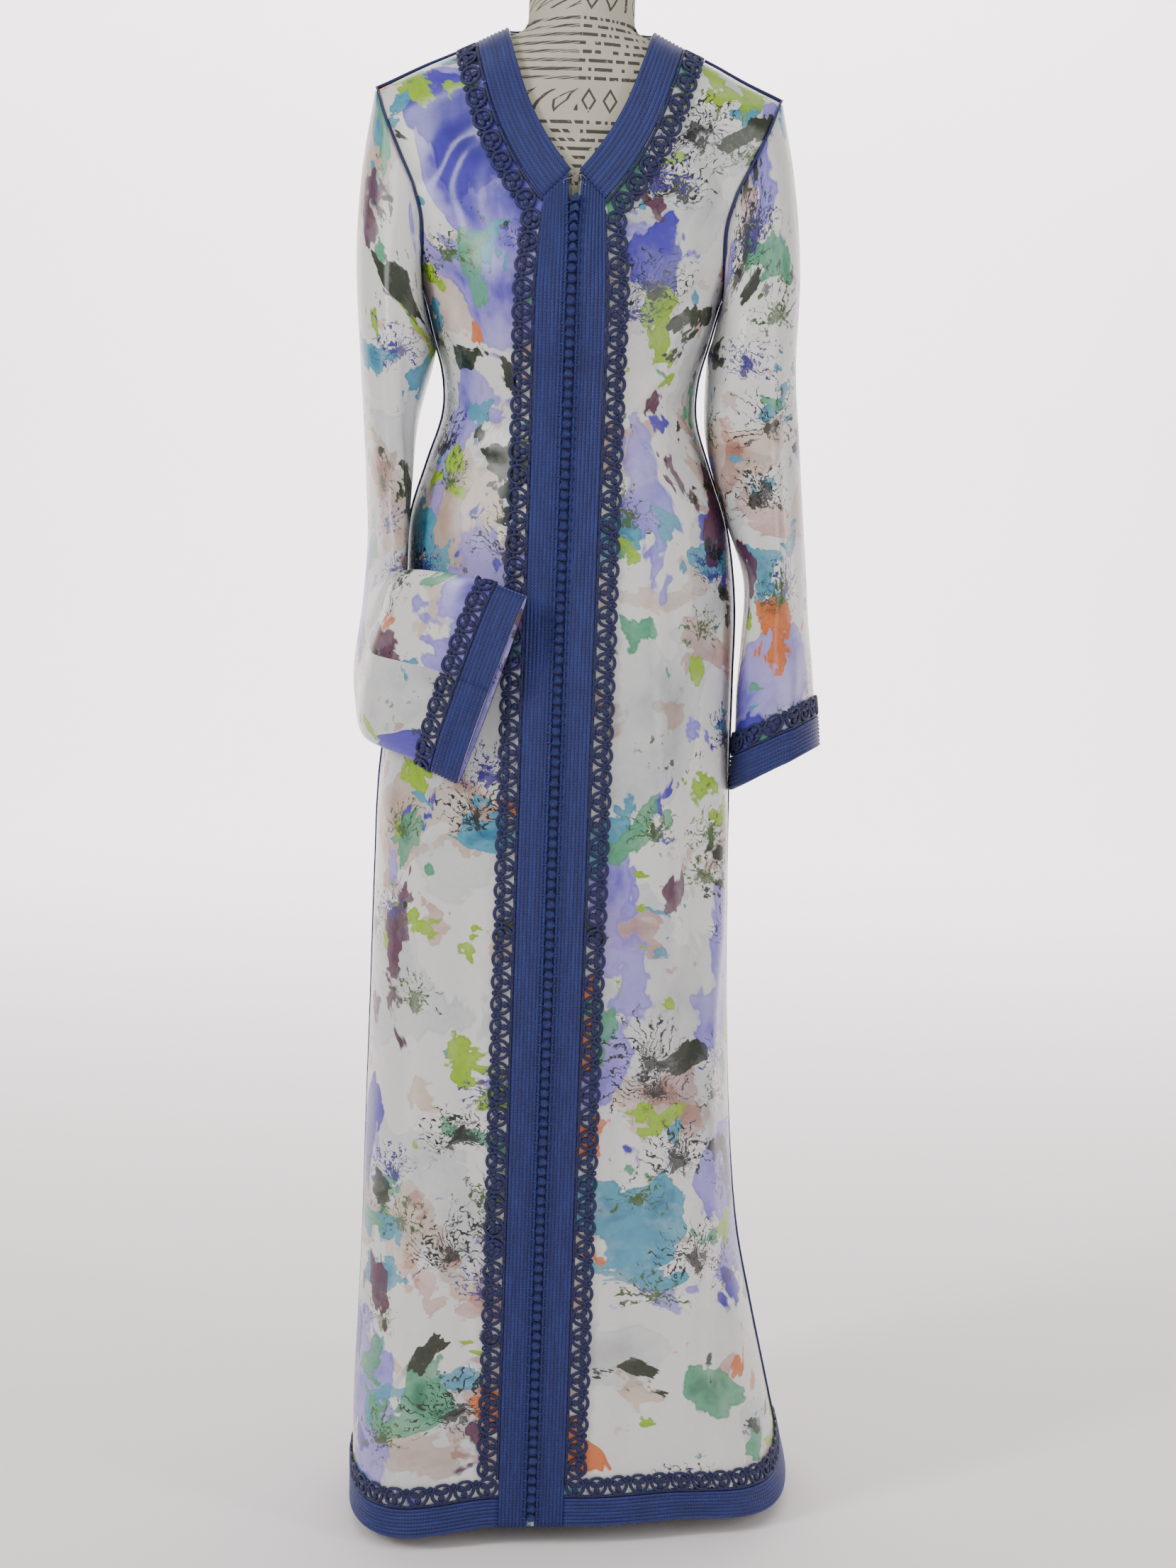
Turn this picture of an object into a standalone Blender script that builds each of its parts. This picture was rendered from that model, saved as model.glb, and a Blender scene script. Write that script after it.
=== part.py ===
"""A moroccan kaftan on a limbless dress form with a pole and a round foot.

Metres, +Z up, -Y is the front, the origin lies on the floor under the middle
of the foot. The body's cloth follows one surface, skin(), and every trim that
lies on the cloth is worked out from the cloth's own points, moved out.
"""
import bisect
import math

import bmesh
import bpy
from mathutils import Vector

WALL = 0.0015             # thickness of the satin
SEAM = 0.0003             # gap between neighbouring pieces
BRAID_THICK = 0.0016      # braid between its ribs
RIB = 0.0007              # height of a rib on the braid
LACE_THICK = 0.0016
BRAID_WIDE = 0.030
LACE_WIDE = 0.0215
TRIM_GAP = 0.0005         # between the braid and the lace beside it
RIB_COUNT = 2

HEM_Z = 0.020             # height of the hem over the floor
UNDERARM_Z = 1.262
NECK_HALF = 0.071         # half width of the neck hole at the shoulder seam
NECK_DROP = 0.2256        # depth of the front neckline, measured on the cloth
NECK_RISE = 0.035         # depth of the back neckline, measured on the cloth
SLIT_HALF = 0.0035        # half width between the two braids of the placket
FIRST_BUTTON_Z = 1.330
LAST_BUTTON_Z = 0.032
BUTTON_PITCH = 0.0097
BUTTON_HALF = 0.0042

RIDGE_Z = 1.5526          # shoulder line carried on to the middle of the neck
RIDGE_SLOPE = 0.466       # fall of the shoulder line for each metre outwards
ROUND_DROP = 0.050        # height over which the shoulder rounds over
ROUND_WAY = 0.095         # the same, measured on the cloth

FOOT_RADIUS = 0.100
FOOT_THICK = 0.014
POLE_RADIUS = 0.012
FORM_BOTTOM = 0.720
FORM_TOP = 1.600
FORM_NECK = 0.053         # half width of the form's neck
FORM_NECK_FRONT = 0.056   # how far it reaches in front of the shoulder line
FORM_NECK_BACK = 0.018
FORM_SHIFT = 0.0052       # the form's shoulder below the cloth's outer face

# Sections of the body: half widths to the left and right of the placket's
# line, depths to the front and the back, slant (how far the right side stands
# back) and squareness (2 is an ellipse).
# z, left, right, front, back, slant, square
SECTIONS = (
    (0.020, 0.187, 0.270, 0.150, 0.150, 0.16, 2.60),
    (0.120, 0.188, 0.246, 0.150, 0.150, 0.14, 2.55),
    (0.200, 0.186, 0.226, 0.149, 0.149, 0.12, 2.50),
    (0.290, 0.184, 0.207, 0.148, 0.147, 0.10, 2.45),
    (0.400, 0.184, 0.194, 0.147, 0.145, 0.08, 2.40),
    (0.530, 0.184, 0.186, 0.146, 0.143, 0.06, 2.35),
    (0.660, 0.184, 0.180, 0.145, 0.141, 0.04, 2.30),
    (0.780, 0.181, 0.176, 0.141, 0.137, 0.02, 2.25),
    (0.880, 0.166, 0.175, 0.134, 0.131, 0.00, 2.20),
    (0.960, 0.160, 0.174, 0.127, 0.120, 0.00, 2.15),
    (1.035, 0.157, 0.163, 0.117, 0.105, 0.00, 2.10),
    (1.090, 0.141, 0.144, 0.109, 0.093, 0.00, 2.05),
    (1.140, 0.126, 0.128, 0.105, 0.086, 0.00, 2.00),
    (1.180, 0.127, 0.128, 0.108, 0.086, 0.00, 2.00),
    (1.220, 0.138, 0.138, 0.114, 0.090, 0.00, 2.00),
    (1.262, 0.150, 0.150, 0.117, 0.095, 0.00, 2.00),
    (1.310, 0.172, 0.172, 0.112, 0.097, 0.00, 2.00),
    (1.370, 0.198, 0.198, 0.100, 0.094, 0.00, 2.00),
    (1.440, 0.218, 0.218, 0.085, 0.084, 0.00, 2.00),
    (1.600, 0.222, 0.222, 0.070, 0.070, 0.00, 2.00),
)
LEFT, RIGHT, FRONT, BACK, SLANT, SQUARE = 1, 2, 3, 4, 5, 6

# Soft folds and mounds: the angle round the body (0 is the front, 90 the
# right side), the half width of the fold, how far it stands out, the heights
# between which it is full, and the way over which it fades.
# angle, spread, depth, low, high, fade
FOLDS = (
    (-50.0, 24.0, 0.034, -1.00, 0.06, 0.72),
    (-17.0, 14.0, -0.010, -1.00, 0.10, 0.55),
    (24.0, 16.0, -0.006, -1.00, 0.12, 0.60),
    (56.0, 20.0, 0.020, -1.00, 0.10, 0.60),
    (84.0, 14.0, -0.010, -1.00, 0.06, 0.45),
    (118.0, 20.0, 0.016, -1.00, 0.10, 0.70),
    (148.0, 16.0, -0.012, -1.00, 0.10, 0.60),
    (178.0, 18.0, 0.014, -1.00, 0.12, 0.70),
    (209.0, 16.0, -0.012, -1.00, 0.08, 0.55),
    (238.0, 20.0, 0.015, -1.00, 0.10, 0.65),
    (-36.0, 26.0, 0.010, 1.245, 1.275, 0.07),
    (36.0, 26.0, 0.010, 1.245, 1.275, 0.07),
)
HEM_FALL = 0.22           # how much lower the hem hangs where a fold stands out

# Armhole seam, from the underarm up to the shoulder tip, on either side: x, and
# the way down from the shoulder line, measured on the cloth.
# x, way
ARMHOLE = (
    (0.1500, 0.2657), (0.1505, 0.2550), (0.1475, 0.2320), (0.1490, 0.1980),
    (0.1590, 0.1600), (0.1735, 0.1220), (0.1880, 0.0820), (0.1975, 0.0410), (0.2030, 0.0),
)
SHOULDER_TIP_Z = 1.458
ARM_STEPS = len(ARMHOLE) - 1

SKIRT_ROWS = (
    HEM_Z, HEM_Z + BRAID_WIDE, HEM_Z + BRAID_WIDE + TRIM_GAP + LACE_WIDE, 0.13, 0.21,
    0.30, 0.41, 0.53, 0.65, 0.76, 0.85, 0.93, 0.99, 1.04, 1.085, 1.13, 1.175, 1.22, UNDERARM_Z,
)
SIDE_COLUMNS = 6          # columns between the placket's lace and the side seam
BACK_COLUMNS = 6          # columns between the middle of the back and a side seam
BACK_RAY = (0.18, 0.38, 0.59, 0.80, 1.0)
NECK_EVERY = 2            # the neck's trims follow every second ray of the back
NECK_LIFT = 0.0016        # further lift of those trims, which span two steps

# Rings of the sleeves below the shoulder: the middle of the ring (x counts
# outwards), the turn of its wide axis towards the front, the tilt of the
# ring, and its half sizes.
# x, y, z, turn, tilt, wide, thin
BENT_SLEEVE = (
    (0.1755, 0.000, 1.200, 4, 0, 0.0780, 0.0385),
    (0.1810, 0.000, 1.130, 10, 0, 0.0800, 0.0270),
    (0.1815, 0.000, 1.070, 14, 0, 0.0815, 0.0200),
    (0.1815, 0.000, 1.020, 15, 4, 0.0820, 0.0160),
    (0.1852, -0.002, 0.952, 18, 22, 0.0840, 0.0150),
    (0.1872, -0.019, 0.925, 24, 42, 0.0845, 0.0150),
    (0.1837, -0.041, 0.905, 31, 60, 0.0860, 0.0150),
    (0.1740, -0.076, 0.899, 40, 68, 0.0930, 0.0150),
    (0.1460, -0.107, 0.895, 54, 70, 0.0960, 0.0140),
    (0.1100, -0.131, 0.8885, 64, 71, 0.0975, 0.0130),
    (0.0912, -0.1381, 0.8818, 70, 71, 0.0985, 0.0125),
    (0.0640, -0.1460, 0.8720, 76, 71, 0.0990, 0.0125),
)
HANGING_SLEEVE = (
    (0.1840, 0.000, 1.200, 0, 0, 0.0720, 0.0455),
    (0.1875, 0.000, 1.130, 5, 3, 0.0700, 0.0480),
    (0.2030, 0.000, 1.050, 8, 5, 0.0770, 0.0400),
    (0.2175, 0.000, 0.985, 10, 8, 0.0800, 0.0315),
    (0.2195, -0.003, 0.925, 12, 14, 0.0780, 0.0350),
    (0.2205, -0.006, 0.885, 13, 20, 0.0750, 0.0400),
    (0.2225, -0.008, 0.846, 14, 28, 0.0720, 0.0440),
    (0.2235, -0.010, 0.8222, 14, 29, 0.0710, 0.0465),
    (0.2245, -0.012, 0.7900, 14, 30, 0.0700, 0.0490),
)
CAP_RINGS = (0.30, 0.62)  # rings between the armhole and the first full ring
CAP_BULGE = 0.010
SEAM_LIKE = 0.2           # how far a sleeve may turn from the panel and share its normal
SLEEVE_GAP = 0.0020       # between the armhole's edge and the sleeve

LACE_PITCH = 0.0243
LACE_HOLE_LONG = 0.0115
LACE_HOLE_WIDE = 0.0046

SIDES = ((-1, "left"), (1, "right"))
RIDGE_GAP = 0.0004        # from the shoulder seam to either panel's edge
TRIM_LIFT = 0.0006        # underside of the trims over the cloth
SIDE_GAP = 0.0015         # from the side seam's line to a panel's edge, as an angle
SLOPE_STEP = 0.004        # step over which the cloth's slope is measured
EDGE_X = 0.0002           # the front panels' edges beside the middle
TRIM_X = (EDGE_X, SLIT_HALF + BRAID_WIDE, SLIT_HALF + BRAID_WIDE + TRIM_GAP + LACE_WIDE)
NECK_WIDTHS = (0.0, BRAID_WIDE, BRAID_WIDE + TRIM_GAP + LACE_WIDE)
SLIT_PART = (SLIT_HALF - EDGE_X) / (TRIM_X[1] - EDGE_X)
GAP_PART = TRIM_GAP / (TRIM_GAP + LACE_WIDE)
LACE_ROW = 2              # row of the panels at the top of the hem's lace
MITRE_STEP = 2            # step of the armhole at the bottom of the neckline
MITRE_PART = 0.0286       # where the two sides of the neckline part
TIP_PART = 0.985          # how far the placket's and the neck's trims reach into their last step
LACE_FOOT = 0.012         # start of the placket's lace above the hem's, as a part of its step
BRAID_FOOT = 0.02         # start of a braid past its seam, as a part of its step
HEM_FOOT = 0.03           # start of the hem's trims beside the placket's, as a part of their step
LACE_HOLE_LOW = 0.46      # lower edge of the lace's slots, as a part of its width
LACE_HOLE_MOST = 0.36     # most that a slot's half may take of its cell
HOOK_PART = 0.25          # where on the braids the hook and the eye are sewn
HOOK_DROP = 0.004
HOOK_HALF = 0.0022
HOOK_THICK = 0.0014
KNOT_TOP = 0.0042         # a knot over its base, and the bar between two knots
BAR_TOP = 0.0014
BAR_PART = 0.62           # width of the bar between two knots, as a part of a knot's
PIPING_HALF = 0.0013
HOOK_LIFT = 0.0018        # the hook lies across two braids that slope apart
ARMHOLE_INSET = 0.20      # place of the armhole cord, as a part of the panel's last column
BUTTON_BASE = TRIM_LIFT + BRAID_THICK + 0.0012
FORM_SEGMENTS = 26
CUT_DEPTH = 0.05          # how far under the cloth its quads look for their lower diagonal
FORM_ARM_GAP = 0.012
FORM_EDGE = 0.0015        # half depth of the form along its shoulder line
FORM_BACK_EASE = 0.0055   # further room behind the form's back, below its shoulders
# Heights of the dress form's rings and how far each lies inside the cloth's outer face.
# z, inset
FORM_ROWS = (
    (FORM_BOTTOM, 0.012), (0.790, 0.010), (0.880, 0.009), (0.960, 0.009), (1.035, 0.008),
    (1.130, 0.008), (1.180, 0.008), (1.220, 0.008), (1.262, 0.008), (1.320, 0.007), (1.375, 0.006),
    (1.410, 0.0055), (1.438, 0.0055), (1.453, 0.0055), (1.468, 0.0055), (1.484, 0.0055),
    (1.500, 0.0055), (1.518, 0.0055), (1.545, 0.0055), (FORM_TOP, 0.0055),
)

MATERIALS = {
    # name: colour, roughness, metallic
    "satin": ((0.78, 0.77, 0.74, 1.0), 0.42, 0.0),
    "braid": ((0.030, 0.060, 0.300, 1.0), 0.50, 0.0),
    "lace": ((0.022, 0.030, 0.130, 1.0), 0.60, 0.0),
    "piping": ((0.020, 0.035, 0.160, 1.0), 0.60, 0.0),
    "hook": ((0.55, 0.55, 0.56, 1.0), 0.30, 1.0),
    "form_cover": ((0.62, 0.57, 0.47, 1.0), 0.85, 0.0),
    "stand": ((0.05, 0.05, 0.055, 1.0), 0.45, 0.8),
}


def clear_scene():
    for obj in list(bpy.data.objects):
        bpy.data.objects.remove(obj, do_unlink=True)


def make_material(name):
    colour, roughness, metallic = MATERIALS[name]
    material = bpy.data.materials.new(name)
    material.use_nodes = True
    shader = material.node_tree.nodes["Principled BSDF"]
    shader.inputs["Base Color"].default_value = colour
    shader.inputs["Roughness"].default_value = roughness
    shader.inputs["Metallic"].default_value = metallic
    material.diffuse_color = colour
    return material


def add_object(name, vertices, faces, material):
    mesh = bpy.data.meshes.new(name)
    mesh.from_pydata([tuple(v) for v in vertices], [], faces)
    mesh.materials.append(material)
    mesh.shade_smooth()
    mesh.set_sharp_from_angle(angle=math.radians(40))
    obj = bpy.data.objects.new(name, mesh)
    bpy.context.scene.collection.objects.link(obj)
    return obj


def smooth_value(table, column, at):
    """A smooth curve through one column of a table whose first column rises."""
    keys = [row[0] for row in table]
    at = min(max(at, keys[0]), keys[-1])
    i = min(max(bisect.bisect_right(keys, at) - 1, 0), len(keys) - 2)

    def slope(k):
        low, high = max(k - 1, 0), min(k + 1, len(keys) - 1)
        return (table[high][column] - table[low][column]) / (keys[high] - keys[low])

    span = keys[i + 1] - keys[i]
    t = (at - keys[i]) / span
    start, end = table[i][column], table[i + 1][column]
    bend = (1 - t) * (slope(i) * span - (end - start)) - t * (slope(i + 1) * span - (end - start))
    return start + t * (end - start) + t * (1 - t) * bend


def section(z):
    """Middle, half width, depths, slant and squareness of the body at z."""
    left, right, front, back, slant, square = (
        smooth_value(SECTIONS, column, z)
        for column in (LEFT, RIGHT, FRONT, BACK, SLANT, SQUARE))
    return (right - left) / 2, (right + left) / 2, front, back, slant, square


def ridge_z(x):
    return RIDGE_Z - RIDGE_SLOPE * abs(x)


def ramp(value):
    value = min(max(value, 0.0), 1.0)
    return value * value * (3 - 2 * value)


def fold_height(phi, z):
    total = 0.0
    for angle, spread, depth, low, high, fade in FOLDS:
        away = (math.degrees(phi) - angle + 180) % 360 - 180
        if abs(away) < 2 * spread:
            outside = max(low - z, z - high, 0.0)
            across = math.cos(math.radians(away / spread * 45)) ** 2
            total += depth * across * ramp(1 - outside / fade)
    return total


def skin(phi, z):
    """The outer face of the body's cloth, round the body by phi at height z."""
    middle, half, front, back, slant, square = section(z)
    sine, cosine = math.sin(phi), math.cos(phi)
    x = middle + half * math.copysign(abs(sine) ** (2 / square), sine)
    depth = front if cosine > 0 else back
    fall = min(max((ridge_z(x) - z) / ROUND_DROP, 0.0), 1.0)
    rounding = math.sqrt(1 - (1 - fall) ** 2)
    y = -depth * math.copysign(abs(cosine) ** (2 / square), cosine) * rounding
    out = fold_height(phi, z)
    low = ramp((0.35 - z) / 0.30)
    return Vector((x + 0.3 * out * sine,
                   y + slant * (x - middle) - out * cosine * rounding,
                   z - HEM_FALL * out * low))


def phi_at(x, z, front=True):
    """The angle round the body of the point with this x at height z."""
    middle, half, _, _, _, square = section(z)
    part = min(max((x - middle) / half, -1.0), 1.0)
    phi = math.asin(math.copysign(abs(part) ** (square / 2), part))
    return phi if front else math.pi - phi


def way_to_z(x, way):
    """Height of the point that lies this far below the shoulder line, measured on the cloth."""
    way = abs(way)
    if way < ROUND_WAY:
        return ridge_z(x) - ROUND_DROP * (1 - math.cos(math.pi / 2 * way / ROUND_WAY))
    return ridge_z(x) - ROUND_DROP - (way - ROUND_WAY)


def z_to_way(x, z):
    drop = ridge_z(x) - z
    if drop < ROUND_DROP:
        return ROUND_WAY * math.acos(1 - max(drop, 0.0) / ROUND_DROP) / (math.pi / 2)
    return ROUND_WAY + drop - ROUND_DROP


def flat_to_skin(x, way):
    """A point of the upper body: way is below the shoulder line, in front where negative."""
    z = way_to_z(x, way)
    return skin(phi_at(x, z, front=way <= 0), z)


def neck_point(part):
    """Neckline in (x, way), part 0 at the bottom in front, 1 at the shoulder, 2 at the back."""
    if part <= 1:
        way = -NECK_DROP * (1 - part)
        x = NECK_HALF * (1 - (way / NECK_DROP) ** 2)
        along = Vector((-2 * NECK_HALF * way / NECK_DROP ** 2, 1.0))
    else:
        turn = (part - 1) * math.pi / 2
        x, way = NECK_HALF * math.cos(turn), NECK_RISE * math.sin(turn)
        along = Vector((-NECK_HALF * math.sin(turn), NECK_RISE * math.cos(turn)))
    along.normalize()
    return Vector((x, way)), Vector((along.y, -along.x))


def normal_from(point, one, other):
    """Outward unit normal from two directions in the cloth."""
    normal = one.cross(other).normalized()
    outwards = point - Vector((0, 0, point.z - 0.1))
    return normal if normal.dot(outwards) > 0 else -normal


def skin_pair(phi, z):
    """Outer point and outward normal of the lower body."""
    step = SLOPE_STEP
    around = skin(phi + step, z) - skin(phi - step, z)
    up = skin(phi, z + step) - skin(phi, z - step)
    point = skin(phi, z)
    return point, normal_from(point, around, up)


def flat_pair(x, way):
    """Outer point and outward normal of the upper body."""
    step = SLOPE_STEP / 2
    across = flat_to_skin(x + step, way) - flat_to_skin(x - step, way)
    down = flat_to_skin(x, way + step) - flat_to_skin(x, way - step)
    point = flat_to_skin(x, way)
    return point, normal_from(point, across, down)


def mix_pair(a, b, part):
    return a[0].lerp(b[0], part), a[1].lerp(b[1], part).normalized()


def lifted(pair, height):
    return pair[0] + pair[1] * height


def front_grid(side):
    """Rows of (point, normal) on one front panel, from the hem to the shoulder."""
    rows = []
    side_phi = side * (math.pi / 2 - SIDE_GAP)
    for z in SKIRT_ROWS:
        start = phi_at(side * TRIM_X[-1], z)
        row = [skin_pair(phi_at(side * x, z), z) for x in TRIM_X]
        for i in range(1, SIDE_COLUMNS + 1):
            row.append(skin_pair(start + (side_phi - start) * i / SIDE_COLUMNS, z))
        rows.append(row)
    for step in range(1, ARM_STEPS + 1):
        rows.append(upper_front_row(side, step))
    return rows


def upper_front_row(side, step):
    arm_x, arm_way = ARMHOLE[step]
    arm = Vector((arm_x, -arm_way))
    if step < MITRE_STEP:
        origin = Vector((EDGE_X, -z_to_way(0, (UNDERARM_Z + 1.379) / 2)))
        direction = Vector((1.0, -0.28)).normalized()
        widths = [x - EDGE_X for x in TRIM_X]
    else:
        part = MITRE_PART + (1 - MITRE_PART) * (step - MITRE_STEP) / (ARM_STEPS - MITRE_STEP)
        origin, direction = neck_point(part)
        widths = NECK_WIDTHS
    flat = [origin + direction * width for width in widths]
    last = flat[-1]
    flat += [last.lerp(arm, i / SIDE_COLUMNS) for i in range(1, SIDE_COLUMNS + 1)]
    return [flat_pair(side * x, min(way, -RIDGE_GAP)) for x, way in flat]


def back_rows(side):
    """Rows of the lower half of the back, from its middle to one side seam."""
    rows = []
    side_phi = side * (math.pi / 2 + SIDE_GAP) % (2 * math.pi)
    for z in SKIRT_ROWS:
        start = phi_at(0, z, front=False)
        rows.append([skin_pair(start + (side_phi - start) * i / BACK_COLUMNS, z)
                     for i in range(BACK_COLUMNS + 1)])
    return rows


def back_rays(side, top_row):
    """Rays from the back neckline out to the armhole and down to the lower half."""
    rim = [(Vector(point), None) for point in reversed(ARMHOLE)]
    rim[-1] = (rim[-1][0], top_row[-1])
    for pair in reversed(top_row[:-1]):
        x = abs(pair[0].x)
        rim.append((Vector((x, z_to_way(x, UNDERARM_Z))), pair))
    rays = []
    for j, (target, pair) in enumerate(rim):
        origin, direction = neck_point(1 + j / (len(rim) - 1))
        flat = [origin + direction * width for width in NECK_WIDTHS]
        flat += [flat[-1].lerp(target, part) for part in BACK_RAY]
        ray = [flat_pair(side * x, max(way, RIDGE_GAP)) for x, way in flat]
        if pair is not None:
            ray[-1] = pair
        rays.append(ray)
    return rays


def grid_polygons(rows, low, high):
    """Quads of a grid of (point, normal), with the wall between two heights."""
    polygons = []
    for one, other in zip(rows, rows[1:]):
        for i in range(len(one) - 1):
            quad = (one[i], one[i + 1], other[i + 1], other[i])
            polygons.append([(lifted(p, high), lifted(p, low)) for p in quad])
    return polygons


def polygon_normal(points):
    normal = Vector()
    for a, b in zip(points, points[1:] + points[:1]):
        normal += a.cross(b)
    return normal


def faces_out(patch):
    """True where most of a patch's polygons turn their front to the outside."""
    vote = 0.0
    for polygon in patch:
        normal = polygon_normal([pair[0] for pair in polygon])
        vote += normal.dot(polygon[0][0] - polygon[0][1])
    return vote > 0


def cut_quad(quad, inside):
    """Cuts a quad of points along the diagonal that lies nearer to a place inside."""
    a, b, c, d = quad
    if ((a + c) / 2 - inside).length > ((b + d) / 2 - inside).length:
        return (1, 2, 3), (1, 3, 0)
    return (0, 1, 2), (0, 2, 3)


def solid_sheet(name, patches, material):
    """A closed wall from patches of (outer, inner) polygons, with its rims and holes closed."""
    index, outer, inner = {}, [], []

    def number(pair):
        key = tuple(round(c, 6) for c in pair[0])
        if key not in index:
            index[key] = len(outer)
            outer.append(pair[0])
            inner.append(pair[1])
        return index[key]

    faces = []
    for patch in patches:
        step = 1 if faces_out(patch) else -1
        for polygon in patch:
            face = list(dict.fromkeys(number(pair) for pair in polygon[::step]))
            if len(face) == 4:
                quad = [outer[i] for i in face]
                below = (outer[face[0]] - inner[face[0]]).normalized() * CUT_DEPTH
                middle = (quad[0] + quad[1] + quad[2] + quad[3]) / 4
                faces += [[face[i] for i in part] for part in cut_quad(quad, middle - below)]
            elif len(face) == 3:
                faces.append(face)
    edges = {(a, b) for face in faces for a, b in zip(face, face[1:] + face[:1])}
    count = len(outer)
    walls = [[b, a, a + count, b + count] for a, b in sorted(edges) if (b, a) not in edges]
    backs = [[i + count for i in reversed(face)] for face in faces]
    return add_object(name, outer + inner, faces + backs + walls, material)


def loft(name, loops, material, closed=False):
    """A closed solid through like loops of points, which run clockwise seen along it."""
    size = len(loops[0])
    vertices = [point for loop in loops for point in loop]
    pairs = list(zip(range(len(loops)), range(1, len(loops))))
    if closed:
        pairs.append((len(loops) - 1, 0))
    faces = []
    for a, b in pairs:
        middle = sum(loops[a] + loops[b], Vector()) / (2 * size)
        for i in range(size):
            k = (i + 1) % size
            face = [a * size + i, a * size + k, b * size + k, b * size + i]
            parts = cut_quad([vertices[v] for v in face], middle)
            faces += [[face[v] for v in part] for part in parts]
    if not closed:
        last = (len(loops) - 1) * size
        faces.append(list(range(size - 1, -1, -1)))
        faces.append([last + i for i in range(size)])
    obj = add_object(name, vertices, faces, material)
    mesh = bmesh.new()
    mesh.from_mesh(obj.data)
    bmesh.ops.recalc_face_normals(mesh, faces=mesh.faces)
    if mesh.calc_volume(signed=True) < 0:
        bmesh.ops.reverse_faces(mesh, faces=mesh.faces)
    mesh.to_mesh(obj.data)
    mesh.free()
    return obj


def braid_loop(inner_pair, outer_pair):
    """Section of the braid between two places on the cloth, with its ribs on top."""
    spans = 2 * RIB_COUNT
    loop = [lifted(inner_pair, TRIM_LIFT)]
    for i in range(spans + 1):
        height = TRIM_LIFT + BRAID_THICK + (RIB if i % 2 else 0.0)
        loop.append(lifted(mix_pair(inner_pair, outer_pair, i / spans), height))
    loop.append(lifted(outer_pair, TRIM_LIFT))
    return loop


def lace_cells(start, end, start_wide, end_wide):
    """Ring cells of the lace over one stretch of the cloth between its two long edges."""
    def place(u, v):
        pair = mix_pair(mix_pair(start, start_wide, v), mix_pair(end, end_wide, v), u)
        return lifted(pair, TRIM_LIFT + LACE_THICK), lifted(pair, TRIM_LIFT)

    length = ((end[0] - start[0]).length + (end_wide[0] - start_wide[0]).length) / 2
    count = max(1, round(length / LACE_PITCH))
    half_long = min(LACE_HOLE_LONG / 2 * count / length, LACE_HOLE_MOST)
    low, high = LACE_HOLE_LOW, LACE_HOLE_LOW + LACE_HOLE_WIDE / LACE_WIDE
    polygons = []
    for i in range(count):
        def at(u, v):
            return place((i + u) / count, v)
        corner_a, corner_b, corner_c, corner_d = at(0, 0), at(1, 0), at(1, 1), at(0, 1)
        hole_a, hole_b = at(0.5 - half_long, low), at(0.5 + half_long, low)
        hole_c, hole_d = at(0.5 + half_long, high), at(0.5 - half_long, high)
        polygons += [
            [corner_a, corner_b, hole_b, hole_a],
            [corner_b, corner_c, hole_c, hole_b],
            [corner_c, corner_d, hole_d, hole_c],
            [corner_d, corner_a, hole_a, hole_d],
        ]
    return polygons


def lace_strip(name, edge_rows, material):
    """Lace over rows of (edge beside the braid, free edge) pairs."""
    polygons = []
    for (one, one_wide), (other, other_wide) in zip(edge_rows, edge_rows[1:]):
        polygons += lace_cells(one, other, one_wide, other_wide)
    return solid_sheet(name, [polygons], material)


def piping(name, pairs, material):
    """A thin cord over a seam, through (point, normal) pairs."""
    loops = []
    for i, pair in enumerate(pairs):
        low, high = pairs[max(i - 1, 0)][0], pairs[min(i + 1, len(pairs) - 1)][0]
        across = (high - low).normalized().cross(pair[1]).normalized() * PIPING_HALF
        base = lifted(pair, TRIM_LIFT)
        loops.append([base - across, base + across, base + pair[1] * 2 * PIPING_HALF])
    return loft(name, loops, material)


def make_fronts(materials):
    grids = {}
    for side, word in SIDES:
        rows = front_grid(side)
        grids[side] = rows
        solid_sheet("front_" + word, [grid_polygons(rows, -WALL, 0.0)], materials["satin"])
    return grids


def make_back(materials):
    patches, grids = [], {}
    for side, _ in SIDES:
        rows = back_rows(side)
        rays = back_rays(side, rows[-1])
        grids[side] = (rows, rays)
        patches += [grid_polygons(rows, -WALL, 0.0), grid_polygons(rays, -WALL, 0.0)]
    solid_sheet("back", patches, materials["satin"])
    return grids


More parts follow.
